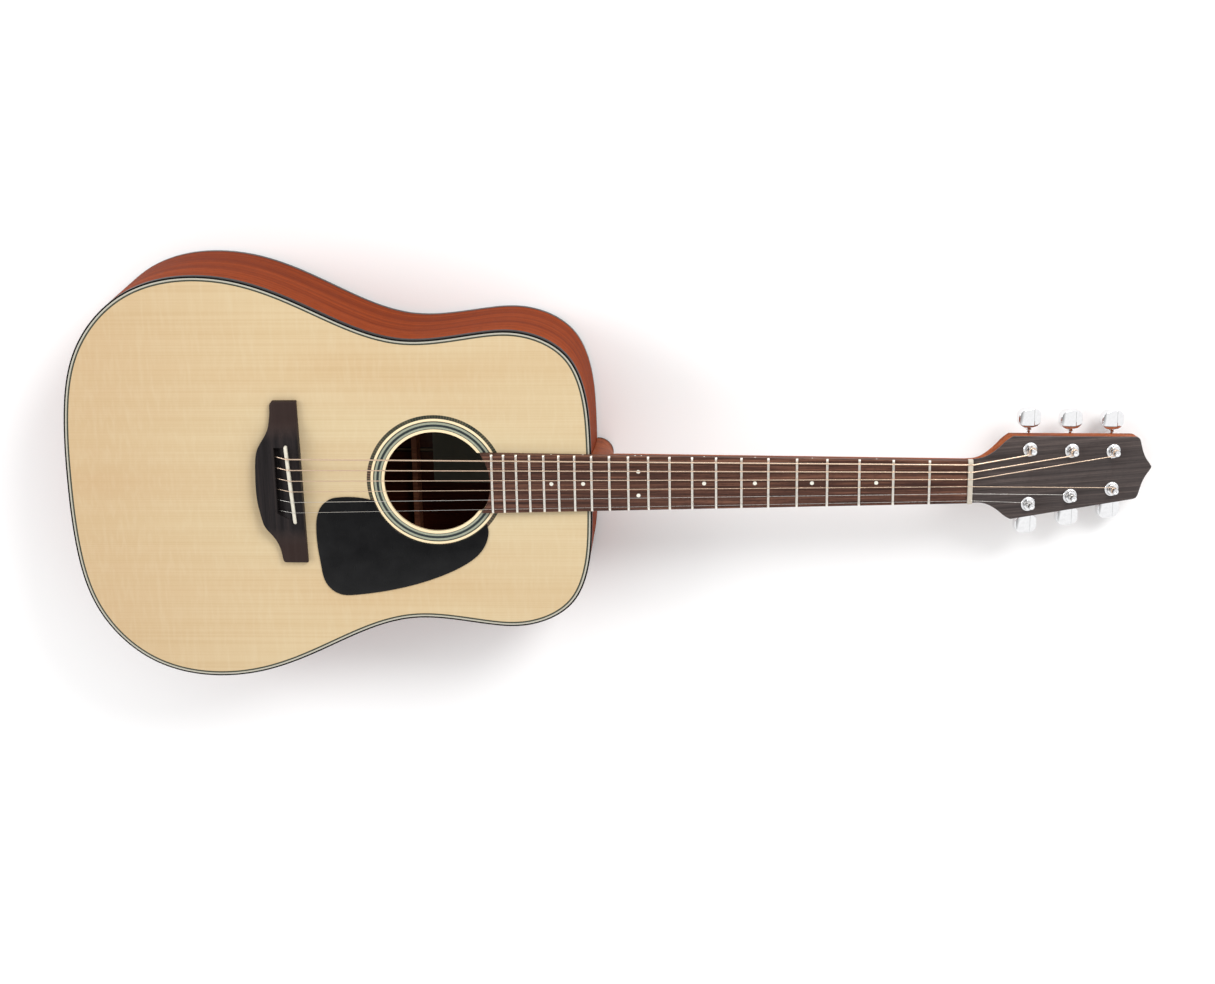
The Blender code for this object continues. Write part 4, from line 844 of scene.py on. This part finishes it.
def make_heel_cap():
    steps = 40
    outline = [(NECK_EDGE + 0.0001 + HEEL_CAP_LONG * math.sin(math.pi * k / steps),
                -HEEL_CAP_HALF * math.cos(math.pi * k / steps)) for k in range(steps + 1)]
    top = -HEEL_DEPTH - 0.0001
    cap = loft("heel_cap_plate", [[(x, y, z) for x, y in outline] for z in (top - HEEL_CAP_THICK, top)])
    piece(bevel(cap, 0.0004), "black_binding", ["heel_cap"])


def head_bores():
    """Cutters for the tuners' holes through the headstock."""
    profile = ((HEAD_BORE, -0.03), (HEAD_BORE, 0.01))
    return [lathe(f"bore_{string}", profile, 24, seat) for string, _, _, seat in tuner_seats()]


def make_overlay():
    half = head_half_outline()
    outline = [(0.0004, half[0][1])] + half[1:]
    outline += [(u, -w) for u, w in reversed(outline)]
    overlay = loft("headstock_face", [[(u, v, w) for u, v in outline] for w in (-OVERLAY_THICK, 0.0)], HEAD)
    boolean(overlay, head_bores())
    piece(bevel(overlay, 0.0004), "rosewood_overlay", ["headstock_overlay"], sharp=30)


def make_fretboard():
    shares = [math.sin(0.5 * math.pi * k / 10) for k in range(-10, 11)]

    def ring(x, bow=0.0):
        half = board_half(x) - 0.0001
        ease = 0.0004
        top, bottom = [], []
        for share in shares:
            y = share * half
            arc = HOLE_X + math.sqrt(BOARD_END_RADIUS**2 - y * y)
            px = lerp(x, arc, bow)
            drop = ease if abs(share) == 1 else 0.0
            top.append((px, y, board_top(px, y) - drop))
            bottom.append((px, y, board_bottom(px) + 0.00005))
        return top + bottom[::-1]

    places = [-0.0002 + (NECK_EDGE + 0.0002) * k / 30 for k in range(31)]
    last = fret_x(FRET_COUNT) - FRET_WIDTH / 2
    places += [lerp(NECK_EDGE, last, k / 8) for k in range(1, 9)]
    rings = [ring(x) for x in places] + [ring(last, k / 6) for k in range(1, 7)]
    piece(loft("fretboard_wood", rings, ladder=True), "rosewood_board", ["fretboard"], sharp=30)
    make_frets()
    make_dots()


def make_frets():
    """Crowned wires with bevelled ends, all in one mesh."""
    wires = []
    crown = [(math.cos(a), math.sin(a)) for a in np.linspace(0, math.pi, 9)]
    for number in range(1, FRET_COUNT + 1):
        x = fret_x(number)
        half = board_half(x) - 0.0001
        rings = []
        ends = ((1.0, 0.10), (1 - 0.0006 / half, 0.80), (1 - 0.0011 / half, 1.0))
        stations = [(-share, tall) for share, tall in ends]
        stations += [(share, 1.0) for share in np.linspace(-0.88, 0.88, 13)]
        stations += reversed(ends)
        for share, tall in stations:
            y = share * half
            base = board_top(x, y)
            ring = [(x + c * FRET_WIDTH / 2, y, base + s * FRET_HEIGHT * tall) for c, s in crown]
            ring += [(x - 0.0004, y, base - 0.0004), (x + 0.0004, y, base - 0.0004)]
            rings.append(ring)
        wires.append(loft(f"wire_{number}", rings))
    piece(join("frets", wires), "nickel_silver", sharp=50)


def make_dots():
    dots, sides = [], []
    for number in DOT_FRETS:
        x = (fret_x(number) + fret_x(number - 1)) / 2
        spots = (0.0,) if number != 12 else (-0.0118, 0.0118)
        for y in spots:
            z = board_top(x, y)
            profile = ((DOT_RADIUS, z - 0.0006), (DOT_RADIUS, z + 0.00002),
                       (DOT_RADIUS - 0.0002, z + 0.00005), (0.0001, z + 0.00006))
            dot = lathe(f"dot_{number}_{len(dots)}", profile, 28, GUITAR)
            dot.data.transform(Matrix.Translation((x, y, 0)))
            dots.append(dot)
        for offset in ((0.0,) if number != 12 else (-0.003, 0.003)):
            px = x + offset
            half = board_half(px)
            profile = ((SIDE_DOT_RADIUS, -0.0006), (SIDE_DOT_RADIUS, -0.00002), (0.0001, 0.00001))
            mark = lathe(f"mark_{number}_{len(sides)}", profile, 16, GUITAR)
            place = Matrix.Translation((px, half - 0.00008, board_top(px, half) - 0.0026))
            mark.data.transform(place @ Matrix.Rotation(-math.pi / 2, 4, "X"))
            sides.append(mark)
    piece(join("position_dots", dots), "pearl_dot")
    piece(join("side_dots", sides), "pearl_dot")


def make_nut():
    half = board_half(0) + 0.0002
    low = board_bottom(0)
    top = board_top(0) + NUT_ABOVE_BOARD
    rings = []
    for share in [-1, -0.985, -0.95, *np.linspace(-0.88, 0.88, 15), 0.95, 0.985, 1]:
        y = share * half
        worn = 0.0010 if abs(share) == 1 else 0.0003 if abs(share) > 0.98 else 0
        crest = top - y * y / (2 * BOARD_RADIUS) - worn
        back, front = NUT_LENGTH - 0.0004, 0.0001
        profile = ((front, low), (back, low), (back, crest - 0.0013), (back - 0.0006, crest - 0.0004),
                   (back - 0.0018, crest), (front + 0.0006, crest), (front, crest - 0.0005))
        rings.append([(x, y, z) for x, z in profile])
    nut = loft("nut_bone", rings)
    cutters = []
    for string in range(1, 7):
        y, z = string_at_nut(string)
        r = STRING_DIAMETERS[string - 1] / 2 + 0.00005
        curve = [(y + r * math.cos(a), z + r * math.sin(a)) for a in np.linspace(math.pi, 2 * math.pi, 9)]
        shape = curve + [(y + r * 1.3, z + 0.004), (y - r * 1.3, z + 0.004)]
        cutters.append(loft(f"slot_{string}", [[(x, py, pz) for py, pz in shape] for x in (-0.002, 0.008)]))
    piece(boolean(nut, cutters), "nut_bone", ["nut"], sharp=40)


# ---------------------------------------------------------------- bridge


def saddle_frame():
    a, b = SADDLE_ENDS
    middle = (a + b) / 2
    turn = math.atan2((b - a).x, -(b - a).y)
    return Matrix.Translation((middle.x, middle.y, 0)) @ Matrix.Rotation(turn, 4, "Z")


def bridge_height(y):
    """Full height in the middle, running down in a scoop to thin wings."""
    start, end = 0.0435, 0.0640
    share = min(1.0, max(0.0, (abs(y) - start) / (end - start)))
    ease = share * share * (3 - 2 * share)
    return lerp(BRIDGE_TALL, BRIDGE_WING_TALL, ease)


def make_bridge():
    belly = spline(BRIDGE_BELLY, per_span=8)
    order = np.argsort(belly[:, 1])
    bottom_y, top_y = BRIDGE_FRONT[0][1], BRIDGE_FRONT[1][1]
    stations = [bottom_y, bottom_y + 0.0003, bottom_y + 0.0009, top_y - 0.0009, top_y - 0.0003, top_y]
    stations += [round(y, 5) for y in np.linspace(bottom_y + 0.002, top_y - 0.002, 90)]
    rings = []
    for y in sorted(stations):
        back = float(np.interp(y, belly[order, 1], belly[order, 0]))
        front = lerp(BRIDGE_FRONT[0][0], BRIDGE_FRONT[1][0], (y - bottom_y) / (top_y - bottom_y))
        edge = min(y - bottom_y, top_y - y)
        soft = 0.0011
        tall = bridge_height(y) - (soft - math.sqrt(max(0.0, soft**2 - (soft - min(soft, edge)) ** 2)))
        ring = [(front, y, 0.00005)]
        for a in np.linspace(0, math.pi / 2, 5):
            ring.append((front - soft + soft * math.cos(a), y, tall - soft + soft * math.sin(a)))
        for k in range(1, 6):
            ring.append((lerp(front - soft, back + soft, k / 6), y, tall))
        for a in np.linspace(math.pi / 2, math.pi, 5):
            ring.append((back + soft + soft * math.cos(a), y, tall - soft + soft * math.sin(a)))
        ring.append((back, y, 0.00005))
        rings.append(ring)
    bridge = boolean(loft("bridge_wood", rings), [saddle_slot(), string_recess(), *string_bores()])
    piece(bridge, "rosewood_bridge", ["bridge"], sharp=40)
    make_saddle()


def saddle_slot():
    half = SADDLE_LONG / 2
    t = SADDLE_THICK / 2 + 0.0001
    outline = [(t * math.cos(p), half - t + t * math.sin(p)) for p in np.linspace(0, math.pi, 13)]
    outline += [(-x, -y) for x, y in outline]
    rings = [[(x, y, z) for x, y in outline] for z in (SADDLE_SEAT, 0.03)]
    return loft("saddle_slot", rings, GUITAR @ saddle_frame())


def string_recess():
    """Cutter behind the saddle. Its lower end runs out on a slant, its upper end is a square wall."""
    low, high = RECESS_Y
    rings = []
    for y, share in ((low, 0.10), (low + 0.002, 0.45), (low + 0.004, 0.80), (low + 0.0055, 1.0), (high, 1.0)):
        x = (saddle_frame() @ Vector((-SADDLE_THICK / 2 - 0.0016, y, 0))).x
        back = lerp(x - 0.002, RECESS_BACK, share)
        floor = lerp(BRIDGE_TALL - 0.0006, 0.0032, share)
        rings.append([(back, y, floor), (lerp(back, x, 0.55), y, floor + 0.0022 * share),
                      (x, y, BRIDGE_TALL - 0.0018), (x, y, 0.02), (back, y, 0.02)])
    return loft("recess_cutter", rings)


def string_bores():
    """Cutters for the strings' holes, wider where the balls sit."""
    bores = []
    wall, seat = -RECESS_BACK, -BALL_X
    profile = ((0.0014, wall - 0.006), (0.0014, wall + 0.003), (0.0011, wall + 0.003),
               (0.0011, seat - 0.0045), (0.0023, seat - 0.0045), (0.0023, seat + 0.01))
    for string in range(1, 7):
        at = Matrix.Translation((0, string_y(string, SADDLE_SPACING), STRING_EXIT_Z))
        place = GUITAR @ at @ Matrix.Rotation(-math.pi / 2, 4, "Y")
        bores.append(lathe(f"string_bore_{string}", profile, 20, place))
    return bores


def make_saddle():
    """A crowned bar with round ends; its crest steps back under the second string."""
    half = SADDLE_LONG / 2
    t = SADDLE_THICK / 2
    rings = []
    tips = [half - t * (1 - math.cos(p)) for p in np.linspace(0.15, math.pi / 2, 7)]
    for y in sorted([*tips, *np.negative(tips), *np.linspace(-half + 0.003, half - 0.003, 40)]):
        end = half - abs(y)
        wide = t if end >= t else math.sqrt(max(1e-9, t * t - (t - end) ** 2))
        second = math.exp(-(((y - string_y(2, SADDLE_SPACING)) / 0.0042) ** 4))
        crest = lerp(wide * 0.35, -wide * 0.55, second)
        top = saddle_top(y) - 0.0018 * max(0.0, 1 - end / 0.0035) ** 2
        low = SADDLE_SEAT + 0.0002
        profile = ((-wide, low), (wide, low), (wide, top - 0.0007), (lerp(wide, crest, 0.5), top - 0.0002),
                   (crest, top), (lerp(-wide, crest, 0.5), top - 0.0003), (-wide, top - 0.0010))
        rings.append([(x, y, z) for x, z in profile])
    piece(loft("saddle_bone", rings, GUITAR @ saddle_frame()), "bone", ["saddle"], sharp=40)


def make_pickguard():
    first, last = (math.radians(a) for a in GUARD_ANGLES)
    arc = [(HOLE_X + GUARD_RADIUS * math.cos(a), GUARD_RADIUS * math.sin(a))
           for a in np.linspace(first, last, 60)]
    outline = arc + list(spline([arc[-1], *GUARD_OUTLINE, arc[0]], per_span=8)[1:-1])
    guard = loft("pickguard_sheet", [[(x, y, z) for x, y in outline] for z in (0.00005, GAP + GUARD_THICK)])
    piece(bevel(guard, 0.0005, 3), "guard_celluloid", ["pickguard"], sharp=30)


# ---------------------------------------------------------------- strings


def string_y(string, spacing):
    return (string - 3.5) * spacing


def string_at_nut(string):
    y = string_y(string, NUT_SPACING)
    r = STRING_DIAMETERS[string - 1] / 2
    return y, board_top(0, y) + FRET_HEIGHT + 0.0003 + r


def string_at_saddle(string):
    y = string_y(string, SADDLE_SPACING)
    a, b = SADDLE_ENDS
    x = a.x + (b.x - a.x) * (a.y - y) / (a.y - b.y)
    nut_y, nut_z = string_at_nut(string)
    middle = fret_x(12)
    r = STRING_DIAMETERS[string - 1] / 2
    share = middle / x
    over = board_top(middle, nut_y + (y - nut_y) * share) + FRET_HEIGHT + ACTION[string - 1] + r
    return x, y, nut_z + (over - nut_z) / share


def saddle_top(y):
    known = []
    for string in range(1, 7):
        _, at, z = string_at_saddle(string)
        known.append((at, z - STRING_DIAMETERS[string - 1] / 2 - STRING_GAP))
    ys, zs = zip(*known)
    return float(np.interp(y, ys, zs))


def tangent_angle(start, centre, radius, hand):
    """Heading from the centre to where the line from start touches the circle, on the side of hand."""
    dx, dy = start[0] - centre[0], start[1] - centre[1]
    return math.atan2(dy, dx) + hand * math.acos(radius / math.hypot(dx, dy))


def tube(name, points, radii, matrix, sides=12):
    """A tube along points, its length stored along it as the attribute "along"."""
    points = [Vector(p) for p in points]
    rings, along, total = [], [], 0.0
    side = None
    for i, point in enumerate(points):
        ahead = points[min(i + 1, len(points) - 1)] - points[max(i - 1, 0)]
        ahead.normalize()
        if side is None:
            side = ahead.orthogonal().normalized()
        side = (side - ahead * side.dot(ahead)).normalized()
        other = ahead.cross(side)
        if i:
            total += (point - points[i - 1]).length
        ring = [point + (side * math.cos(a) + other * math.sin(a)) * radii[i]
                for a in (2 * math.pi * k / sides for k in range(sides))]
        rings.append(ring)
        along += [(total, 0, 0)] * sides
    obj = loft(name, rings, matrix)
    store(obj, "along", along)
    return obj


def rounded(points, radius, steps=6):
    """A polyline whose inner corners are replaced by short curves."""
    out = [points[0]]
    for before, at, after in zip(points, points[1:], points[2:]):
        back, ahead = (before - at), (after - at)
        reach = min(radius, back.length * 0.45, ahead.length * 0.45)
        a, b = at + back.normalized() * reach, at + ahead.normalized() * reach
        for k in range(steps + 1):
            t = k / steps
            out.append(a * (1 - t) ** 2 + at * 2 * t * (1 - t) + b * t**2)
    out.append(points[-1])
    return out


def make_strings():
    """Each string runs from its ball to its post and winds round it; a stub crosses the post and turns."""
    for string, hand, (u, v), seat in tuner_seats():
        r = STRING_DIAMETERS[string - 1] / 2
        x, y, z = string_at_saddle(string)
        nut_y, nut_z = string_at_nut(string)
        reach = POST_WAIST + r + 0.00008
        start = tangent_angle((0.0, nut_y), (u, v), reach, hand)
        low = POST_HOLE_Z - 0.0015
        pitch = 2 * r * 1.06
        turns = min(4.0, (0.0017 + r * 0.5) / pitch)
        steps = max(10, int(turns * 28))
        coil = []
        for k in range(steps + 1):
            a = start + hand * 2 * math.pi * turns * k / steps
            w = low + pitch * turns * k / steps
            coil.append(HEAD_IN_GUITAR @ Vector((u + reach * math.cos(a), v + reach * math.sin(a), w)))
        ball = [Vector((BALL_X + along, y, STRING_EXIT_Z)) for along in (0, 0.0032, 0.0036)]
        line = [Vector((RECESS_BACK + 0.0006, y, STRING_EXIT_Z)), Vector((x, y, z + 0.00002)),
                Vector((0.0003, nut_y, nut_z)), Vector((NUT_LENGTH - 0.0004, nut_y, nut_z)), coil[0]]
        points = ball + rounded(line, 0.0012)[:-1] + coil
        radii = [BALL_RADIUS, BALL_RADIUS] + [r] * (len(points) - 2)
        look, slot = (f"winding_{string}", "bronze") if string >= 3 else ("plain_string", "steel")
        wire = tube(f"string_{string}_wire", points, radii, GUITAR)
        piece(wire, look, [f"string_{string}"], sharp=60)
        stub = [Vector((share * (POST_WAIST - 0.0001), 0, POST_HOLE_Z)) for share in (-1.0, -0.4, 0.4, 1.0)]
        thin = min(r, POST_HOLE_RADIUS * 0.9)
        piece(tube(f"string_{string}_stub", stub, [thin] * len(stub), seat), look,
              body=f"post_{string}", sharp=60)


# ---------------------------------------------------------------- tuners


def tuner_seats():
    """(string, hand, (u, v), frame of the post): the bass strings have hand 1 and lie at positive v."""
    seats = []
    for place, (u, v) in enumerate(TUNER_SEATS):
        for string, hand in ((6 - place, 1), (1 + place, -1)):
            seats.append((string, hand, (u, hand * v), HEAD @ Matrix.Translation((u, hand * v, 0))))
    return seats


def worm_axis(seat, hand):
    """Frame of the worm, beside its post. Local +Z runs out to the button."""
    turn = Matrix.Rotation(-hand * math.pi / 2, 4, "X")
    return seat @ (Matrix.Translation((WORM_OFFSET, 0, WORM_Z)) @ turn)


def make_post(string, seat, hand):
    knots = [
        (0.0022, WORM_Z - 0.0026), (0.0022, WORM_Z - TOOTH_FACE / 2 - 0.0004),
        (POST_RADIUS - 0.0008, WORM_Z - TOOTH_FACE / 2 + 0.0002), (POST_RADIUS - 0.0008, WORM_Z + 0.0020),
        (POST_RADIUS, WORM_Z + 0.0030), (POST_RADIUS, 0.0036), (POST_RADIUS - 0.0002, 0.0041),
        (POST_WAIST, 0.0046), (POST_WAIST, 0.0084), (POST_RADIUS - 0.0002, 0.0089), (POST_RADIUS, 0.0094),
        (POST_RADIUS, POST_TOP - 0.0007), (POST_RADIUS - 0.0002, POST_TOP - 0.0002),
        (POST_RADIUS - 0.0007, POST_TOP), (POST_RADIUS - 0.0013, POST_TOP - 0.0001),
        (POST_RADIUS - 0.0018, POST_TOP - 0.0007), (0.0001, POST_TOP - 0.0010),
    ]
    post = lathe(f"string_post_{string}", knots, 36, seat)
    rings = []
    lead = math.atan(WHEEL_PITCH / (2 * math.pi * WORM_RADIUS))
    for level in np.linspace(-0.5, 0.5, 5):
        ring = []
        twist = level * TOOTH_FACE * math.tan(lead) / WHEEL_RADIUS
        for tooth in range(WHEEL_TEETH):
            centre = (tooth + 0.5 + hand * THREAD_PHASE) * 2 * math.pi / WHEEL_TEETH + twist
            for side, radius, share in ((-1, -1.35, 0.31), (-1, 0.9, 0.12), (1, 0.9, 0.12), (1, -1.35, 0.31)):
                a = centre + side * share * 2 * math.pi / WHEEL_TEETH
                r = WHEEL_RADIUS + radius * TOOTH_TALL
                ring.append((r * math.cos(a), r * math.sin(a), WORM_Z + level * TOOTH_FACE))
        rings.append(ring)
    wheel = loft(f"wheel_{string}", rings, seat)
    hole = lathe(f"post_hole_{string}", ((POST_HOLE_RADIUS, -0.006), (POST_HOLE_RADIUS, 0.006)), 16,
                 seat @ Matrix.Translation((0, 0, POST_HOLE_Z)) @ Matrix.Rotation(math.pi / 2, 4, "Y"))
    boolean(post, [wheel], "UNION")
    piece(boolean(post, [hole]), "chrome", [f"tuner_{string}_post"], f"post_{string}")


def make_bushing(string, seat):
    bore = POST_RADIUS + 0.0001
    washer = (
        (bore, -HEAD_THICK + GAP), (BUSHING_SLEEVE, -HEAD_THICK + GAP), (BUSHING_SLEEVE, 0.00002),
        (BUSHING_WASHER_RADIUS - 0.0001, 0.00002), (BUSHING_WASHER_RADIUS, 0.0004),
        (BUSHING_WASHER_RADIUS - 0.0003, 0.0010), (BUSHING_WASHER_RADIUS - 0.0010, 0.0014), (0.0058, 0.0013),
        (0.0052, 0.0010), (bore, 0.0010),
    )
    base = lathe(f"tuner_{string}_washer", washer, 48, seat, closed=True)
    piece(base, "chrome", [f"tuner_{string}_bushing"])
    flat = BUSHING_HEX / math.cos(math.pi / 6)
    rings = []
    profile = ((bore, 1, 0.0011), (flat, 0, 0.0011), (flat, 0, 0.0026), (flat * 0.93, 0.5, 0.0031),
               (flat * 0.84, 1, 0.0033), (bore + 0.0005, 1, 0.0033), (bore, 1, 0.0029))
    for radius, round_share, z in profile:
        ring = []
        for k in range(48):
            a = 2 * math.pi * k / 48
            fold = (a + math.pi / 6) % (math.pi / 3) - math.pi / 6
            corner = radius * math.cos(math.pi / 6) / math.cos(math.pi / 6 - abs(fold))
            r = lerp(corner, radius, round_share)
            ring.append((r * math.cos(a), r * math.sin(a), z))
        rings.append(ring)
    piece(loft(f"tuner_{string}_hex_nut", rings, seat, closed=True), "chrome", sharp=25)


def rounded_rectangle(centre, half, corner, z, steps=6):
    ring = []
    for quarter, (sx, sy) in enumerate(((1, 1), (-1, 1), (-1, -1), (1, -1))):
        for k in range(steps + 1):
            a = math.pi / 2 * (quarter + k / steps)
            ring.append((centre[0] + sx * (half[0] - corner) + corner * math.cos(a),
                         centre[1] + sy * (half[1] - corner) + corner * math.sin(a), z))
    return ring


def make_housing(string, seat, hand):
    """A cast cup closed against the headstock, with a boss for the worm's shaft and an ear for its screw."""
    centre = (WORM_OFFSET / 2, hand * 0.0012)
    high = -HEAD_THICK - 0.00005
    low = high - HOUSING_TALL
    outer = (HOUSING_LONG / 2, HOUSING_WIDE / 2)
    inner = (outer[0] - HOUSING_WALL - 0.001, outer[1] - HOUSING_WALL - 0.0006)
    rings = [rounded_rectangle(centre, inner, 0.002, z) for z in (low + HOUSING_WALL, high)]
    rings.append(rounded_rectangle(centre, outer, 0.0035, high))
    soft = 0.0026
    for a in np.linspace(0, math.pi / 2, 7):
        cut = soft * (1 - math.cos(a))
        half = (outer[0] - cut, outer[1] - cut)
        rings.append(rounded_rectangle(centre, half, 0.0035, low + soft - soft * math.sin(a)))
    shell = loft(f"tuner_{string}_case", rings, seat)
    axis = worm_axis(seat, hand)
    bore = SHAFT_RADIUS + 0.0001
    boolean(shell, [lathe(f"port_{string}", ((bore, 0), (bore, 0.02)), 24, axis)])
    piece(shell, "chrome", [f"tuner_{string}_housing"])
    edge = outer[1] + hand * centre[1]
    collar = ((SHAFT_RADIUS + 0.00012, edge + 0.00005), (0.0031, edge + 0.00005), (0.0031, edge + 0.0008),
              (0.0027, edge + 0.0012), (SHAFT_RADIUS + 0.00012, edge + 0.0012))
    piece(lathe(f"tuner_{string}_collar", collar, 32, axis, closed=True), "chrome")
    make_ear(string, seat, (centre[0] - outer[0] - 0.0022, centre[1] - hand * 0.003), high)


def make_ear(string, seat, at, high):
    """A flat round ear beside the housing, held by a cross-head screw."""
    place = seat @ Matrix.Translation((at[0], at[1], high))
    ear = ((0.0010, 0.0), (0.0034, 0.0), (0.0034, -0.0011), (0.0031, -0.0014), (0.0010, -0.0014))
    piece(lathe(f"tuner_{string}_ear", ear, 32, place, closed=True), "chrome")
    head = [(0.0009, 0.004), (0.0009, -0.0013), (0.0021, -0.0016)]
    head += [(0.0021 * math.cos(a), -0.0016 - 0.0011 * math.sin(a)) for a in np.linspace(0.2, 1.45, 7)]
    screw = lathe(f"tuner_{string}_screw", head, 28, place)
    bars = []
    for name, sx, sy in (("a", 0.0012, 0.00022), ("b", 0.00022, 0.0012)):
        outline = ((-sx, -sy), (sx, -sy), (sx, sy), (-sx, sy))
        ends = [[(x, y, z) for x, y in outline] for z in (-0.0040, -0.0019)]
        bars.append(loft(f"cross_{name}_{string}", ends, place))
    piece(boolean(screw, bars), "satin_chrome")


def make_key(string, seat, hand):
    """Worm, shaft and collar in one, then the button."""
    place = worm_axis(seat, hand)
    core = WORM_RADIUS - 1.35 * TOOTH_TALL
    crest = WORM_RADIUS + 0.9 * TOOTH_TALL
    rings = []
    sides, turns = 24, 3
    levels = turns * 12
    for k in range(-levels // 2, levels // 2 + 1):
        z = k * WHEEL_PITCH / 12
        fade = min(1.0, (levels / 2 - abs(k)) / 4)
        ring = []
        for i in range(sides):
            phase = (k / 12 - i / sides - THREAD_PHASE) % 1.0
            ridge = min(1.0, max(0.0, (0.1875 - abs(phase - 0.5)) / 0.125))
            r = lerp(core, crest, ridge * fade)
            a = 2 * math.pi * i / sides
            ring.append((r * math.cos(a), r * math.sin(a), z))
        rings.append(ring)
    start = BUTTON_INNER
    profile = ((core, 0.0046), (SHAFT_RADIUS, 0.0050), (SHAFT_RADIUS, start - 0.0032),
               (0.0023, start - 0.0030), (0.0027, start - 0.0024), (0.0027, start - 0.0012),
               (0.0022, start - 0.0006), (0.0022, start + 0.0012))
    rings += [circle(r, sides, z) for r, z in profile]
    shaft = loft(f"tuner_{string}_shaft", rings, place)
    piece(shaft, "chrome", [f"tuner_{string}_button"], f"key_{string}")
    make_grip(string, place)


def make_grip(string, place):
    """The button: a flat rounded octagon with one crease along its face, swept across its width."""
    middle, long = (BUTTON_INNER + BUTTON_OUTER) / 2, (BUTTON_OUTER - BUTTON_INNER) / 2
    wide, thick = BUTTON_WIDE / 2, BUTTON_THICK / 2
    at = (0.0, 0.30, 0.50, 0.65, 0.80, 0.90, 0.96, 1.0)
    inner = (-1.0, -0.99, -0.94, -0.85, -0.68, -0.52, -0.36, -0.12)
    outer = (1.0, 1.0, 0.97, 0.90, 0.74, 0.56, 0.40, 0.14)
    rings = []
    edge_side = (0.5, 0.65, 0.8, 0.9, 0.95, 0.985, 1.0)
    for x in (*(-x for x in reversed(edge_side)), -0.3, 0.0, 0.2, 0.32, 0.35, 0.38, *edge_side):
        start, end = np.interp(abs(x), at, inner), np.interp(abs(x), at, outer)
        edge = max(0.0, (abs(x) - 0.86) / 0.14)
        groove = 0.07 if x == 0.35 else 0.0
        tall = thick * (1 - 0.20 * max(0.0, x - 0.35) - 0.55 * edge**2.4 - groove)
        half = long * (end - start) / 2
        soft = min(0.0009, tall * 0.62, half * 0.6)
        outline = rounded_rectangle((middle + long * (start + end) / 2, 0.0), (half, tall), soft, 0, 5)
        rings.append([(x * wide, y, z) for z, y, _ in outline])
    piece(loft(f"tuner_{string}_grip", rings, place), "chrome", body=f"key_{string}", sharp=28)


def make_tuners():
    for string, hand, _, seat in tuner_seats():
        make_housing(string, seat, hand)
        make_post(string, seat, hand)
        make_bushing(string, seat)
        make_key(string, seat, hand)


# ---------------------------------------------------------------- frame nodes that stay


def dress_nodes():
    """Inner pieces keep their CAD shape and get their finish here."""
    inner = {"truss_rod": "steel", "truss_rod_nut": "brass"}
    for name in ("neck_block", "tail_block", "top_lining", "back_lining",
                 "back_brace_1", "back_brace_2", "back_brace_3"):
        inner[name] = "inner_mahogany"
    for name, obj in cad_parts.items():
        if not obj.hide_render:
            obj.data.materials.clear()
            obj.data.materials.append(LOOKS[inner.get(name, "brace_spruce")])


# ---------------------------------------------------------------- stage


def make_stage():
    reach = 24.0
    corners = ((-reach, -reach, 0), (reach, -reach, 0), (reach, reach, 0), (-reach, reach, 0))
    floor = mesh_object("floor", corners, [(0, 1, 2, 3)], Matrix.Translation((0, 0, -0.0002)))
    look = Look("floor_paper", 0.9, specular=0.05)
    colour = look.ramp(look.noise((0.4, 0.4, 0.4), 2.0), (0.3, 0.96), (0.7, 0.97))
    floor.data.materials.append(look.finish(colour))

    world = bpy.data.worlds.new("studio")
    bpy.context.scene.world = world
    world.use_nodes = True
    nodes, links = world.node_tree.nodes, world.node_tree.links
    background = nodes["Background"]
    up = nodes.new("ShaderNodeSeparateXYZ")
    links.new(nodes.new("ShaderNodeTexCoord").outputs["Generated"], up.inputs[0])
    ramp = nodes.new("ShaderNodeValToRGB")
    fill_ramp(ramp.color_ramp, ((0.0, 1.0), (0.80, 1.0), (0.90, 0.36), (1.0, 0.26)))
    links.new(up.outputs["Z"], ramp.inputs["Fac"])
    links.new(ramp.outputs["Color"], background.inputs["Color"])
    background.inputs["Strength"].default_value = 1.08
    area_light("key", (1.5, 1.9, 1.9), (-0.05, 0.0, 0.08), 1.2, 46)
    area_light("fill", (-2.2, 0.6, 1.5), (-0.1, 0.0, 0.08), 1.4, 18)


def area_light(name, at, target, size, power):
    light = bpy.data.lights.new(name, "AREA")
    light.shape = "DISK"
    light.size = size
    light.energy = power
    obj = bpy.data.objects.new(name, light)
    bpy.context.scene.collection.objects.link(obj)
    obj.location = at
    obj.rotation_mode = "QUATERNION"
    obj.rotation_quaternion = (Vector(target) - Vector(at)).to_track_quat("-Z", "Y")


def make_camera():
    """Above the guitar, leaning over from its bass side."""
    data = bpy.data.cameras.new("camera")
    data.sensor_width = 36.0
    data.lens = 66.36
    obj = bpy.data.objects.new("camera", data)
    bpy.context.scene.collection.objects.link(obj)
    lean = Euler((math.radians(-18.297), math.radians(2.980), math.radians(-0.965)), "XYZ")
    obj.matrix_world = GUITAR @ Matrix.Translation((-0.2250, 0.6622, 2.0364)) @ lean.to_matrix().to_4x4()
    data.clip_start, data.clip_end = 0.05, 50.0
    bpy.context.scene.camera = obj


make_camera()
make_stage()
bpy.context.scene.view_settings.view_transform = "Standard"
make_body()
make_end_pin()
make_neck()
make_overlay()
make_heel_cap()
make_fretboard()
make_nut()
make_bridge()
make_pickguard()
make_strings()
make_tuners()
dress_nodes()

bpy.context.view_layer.update()
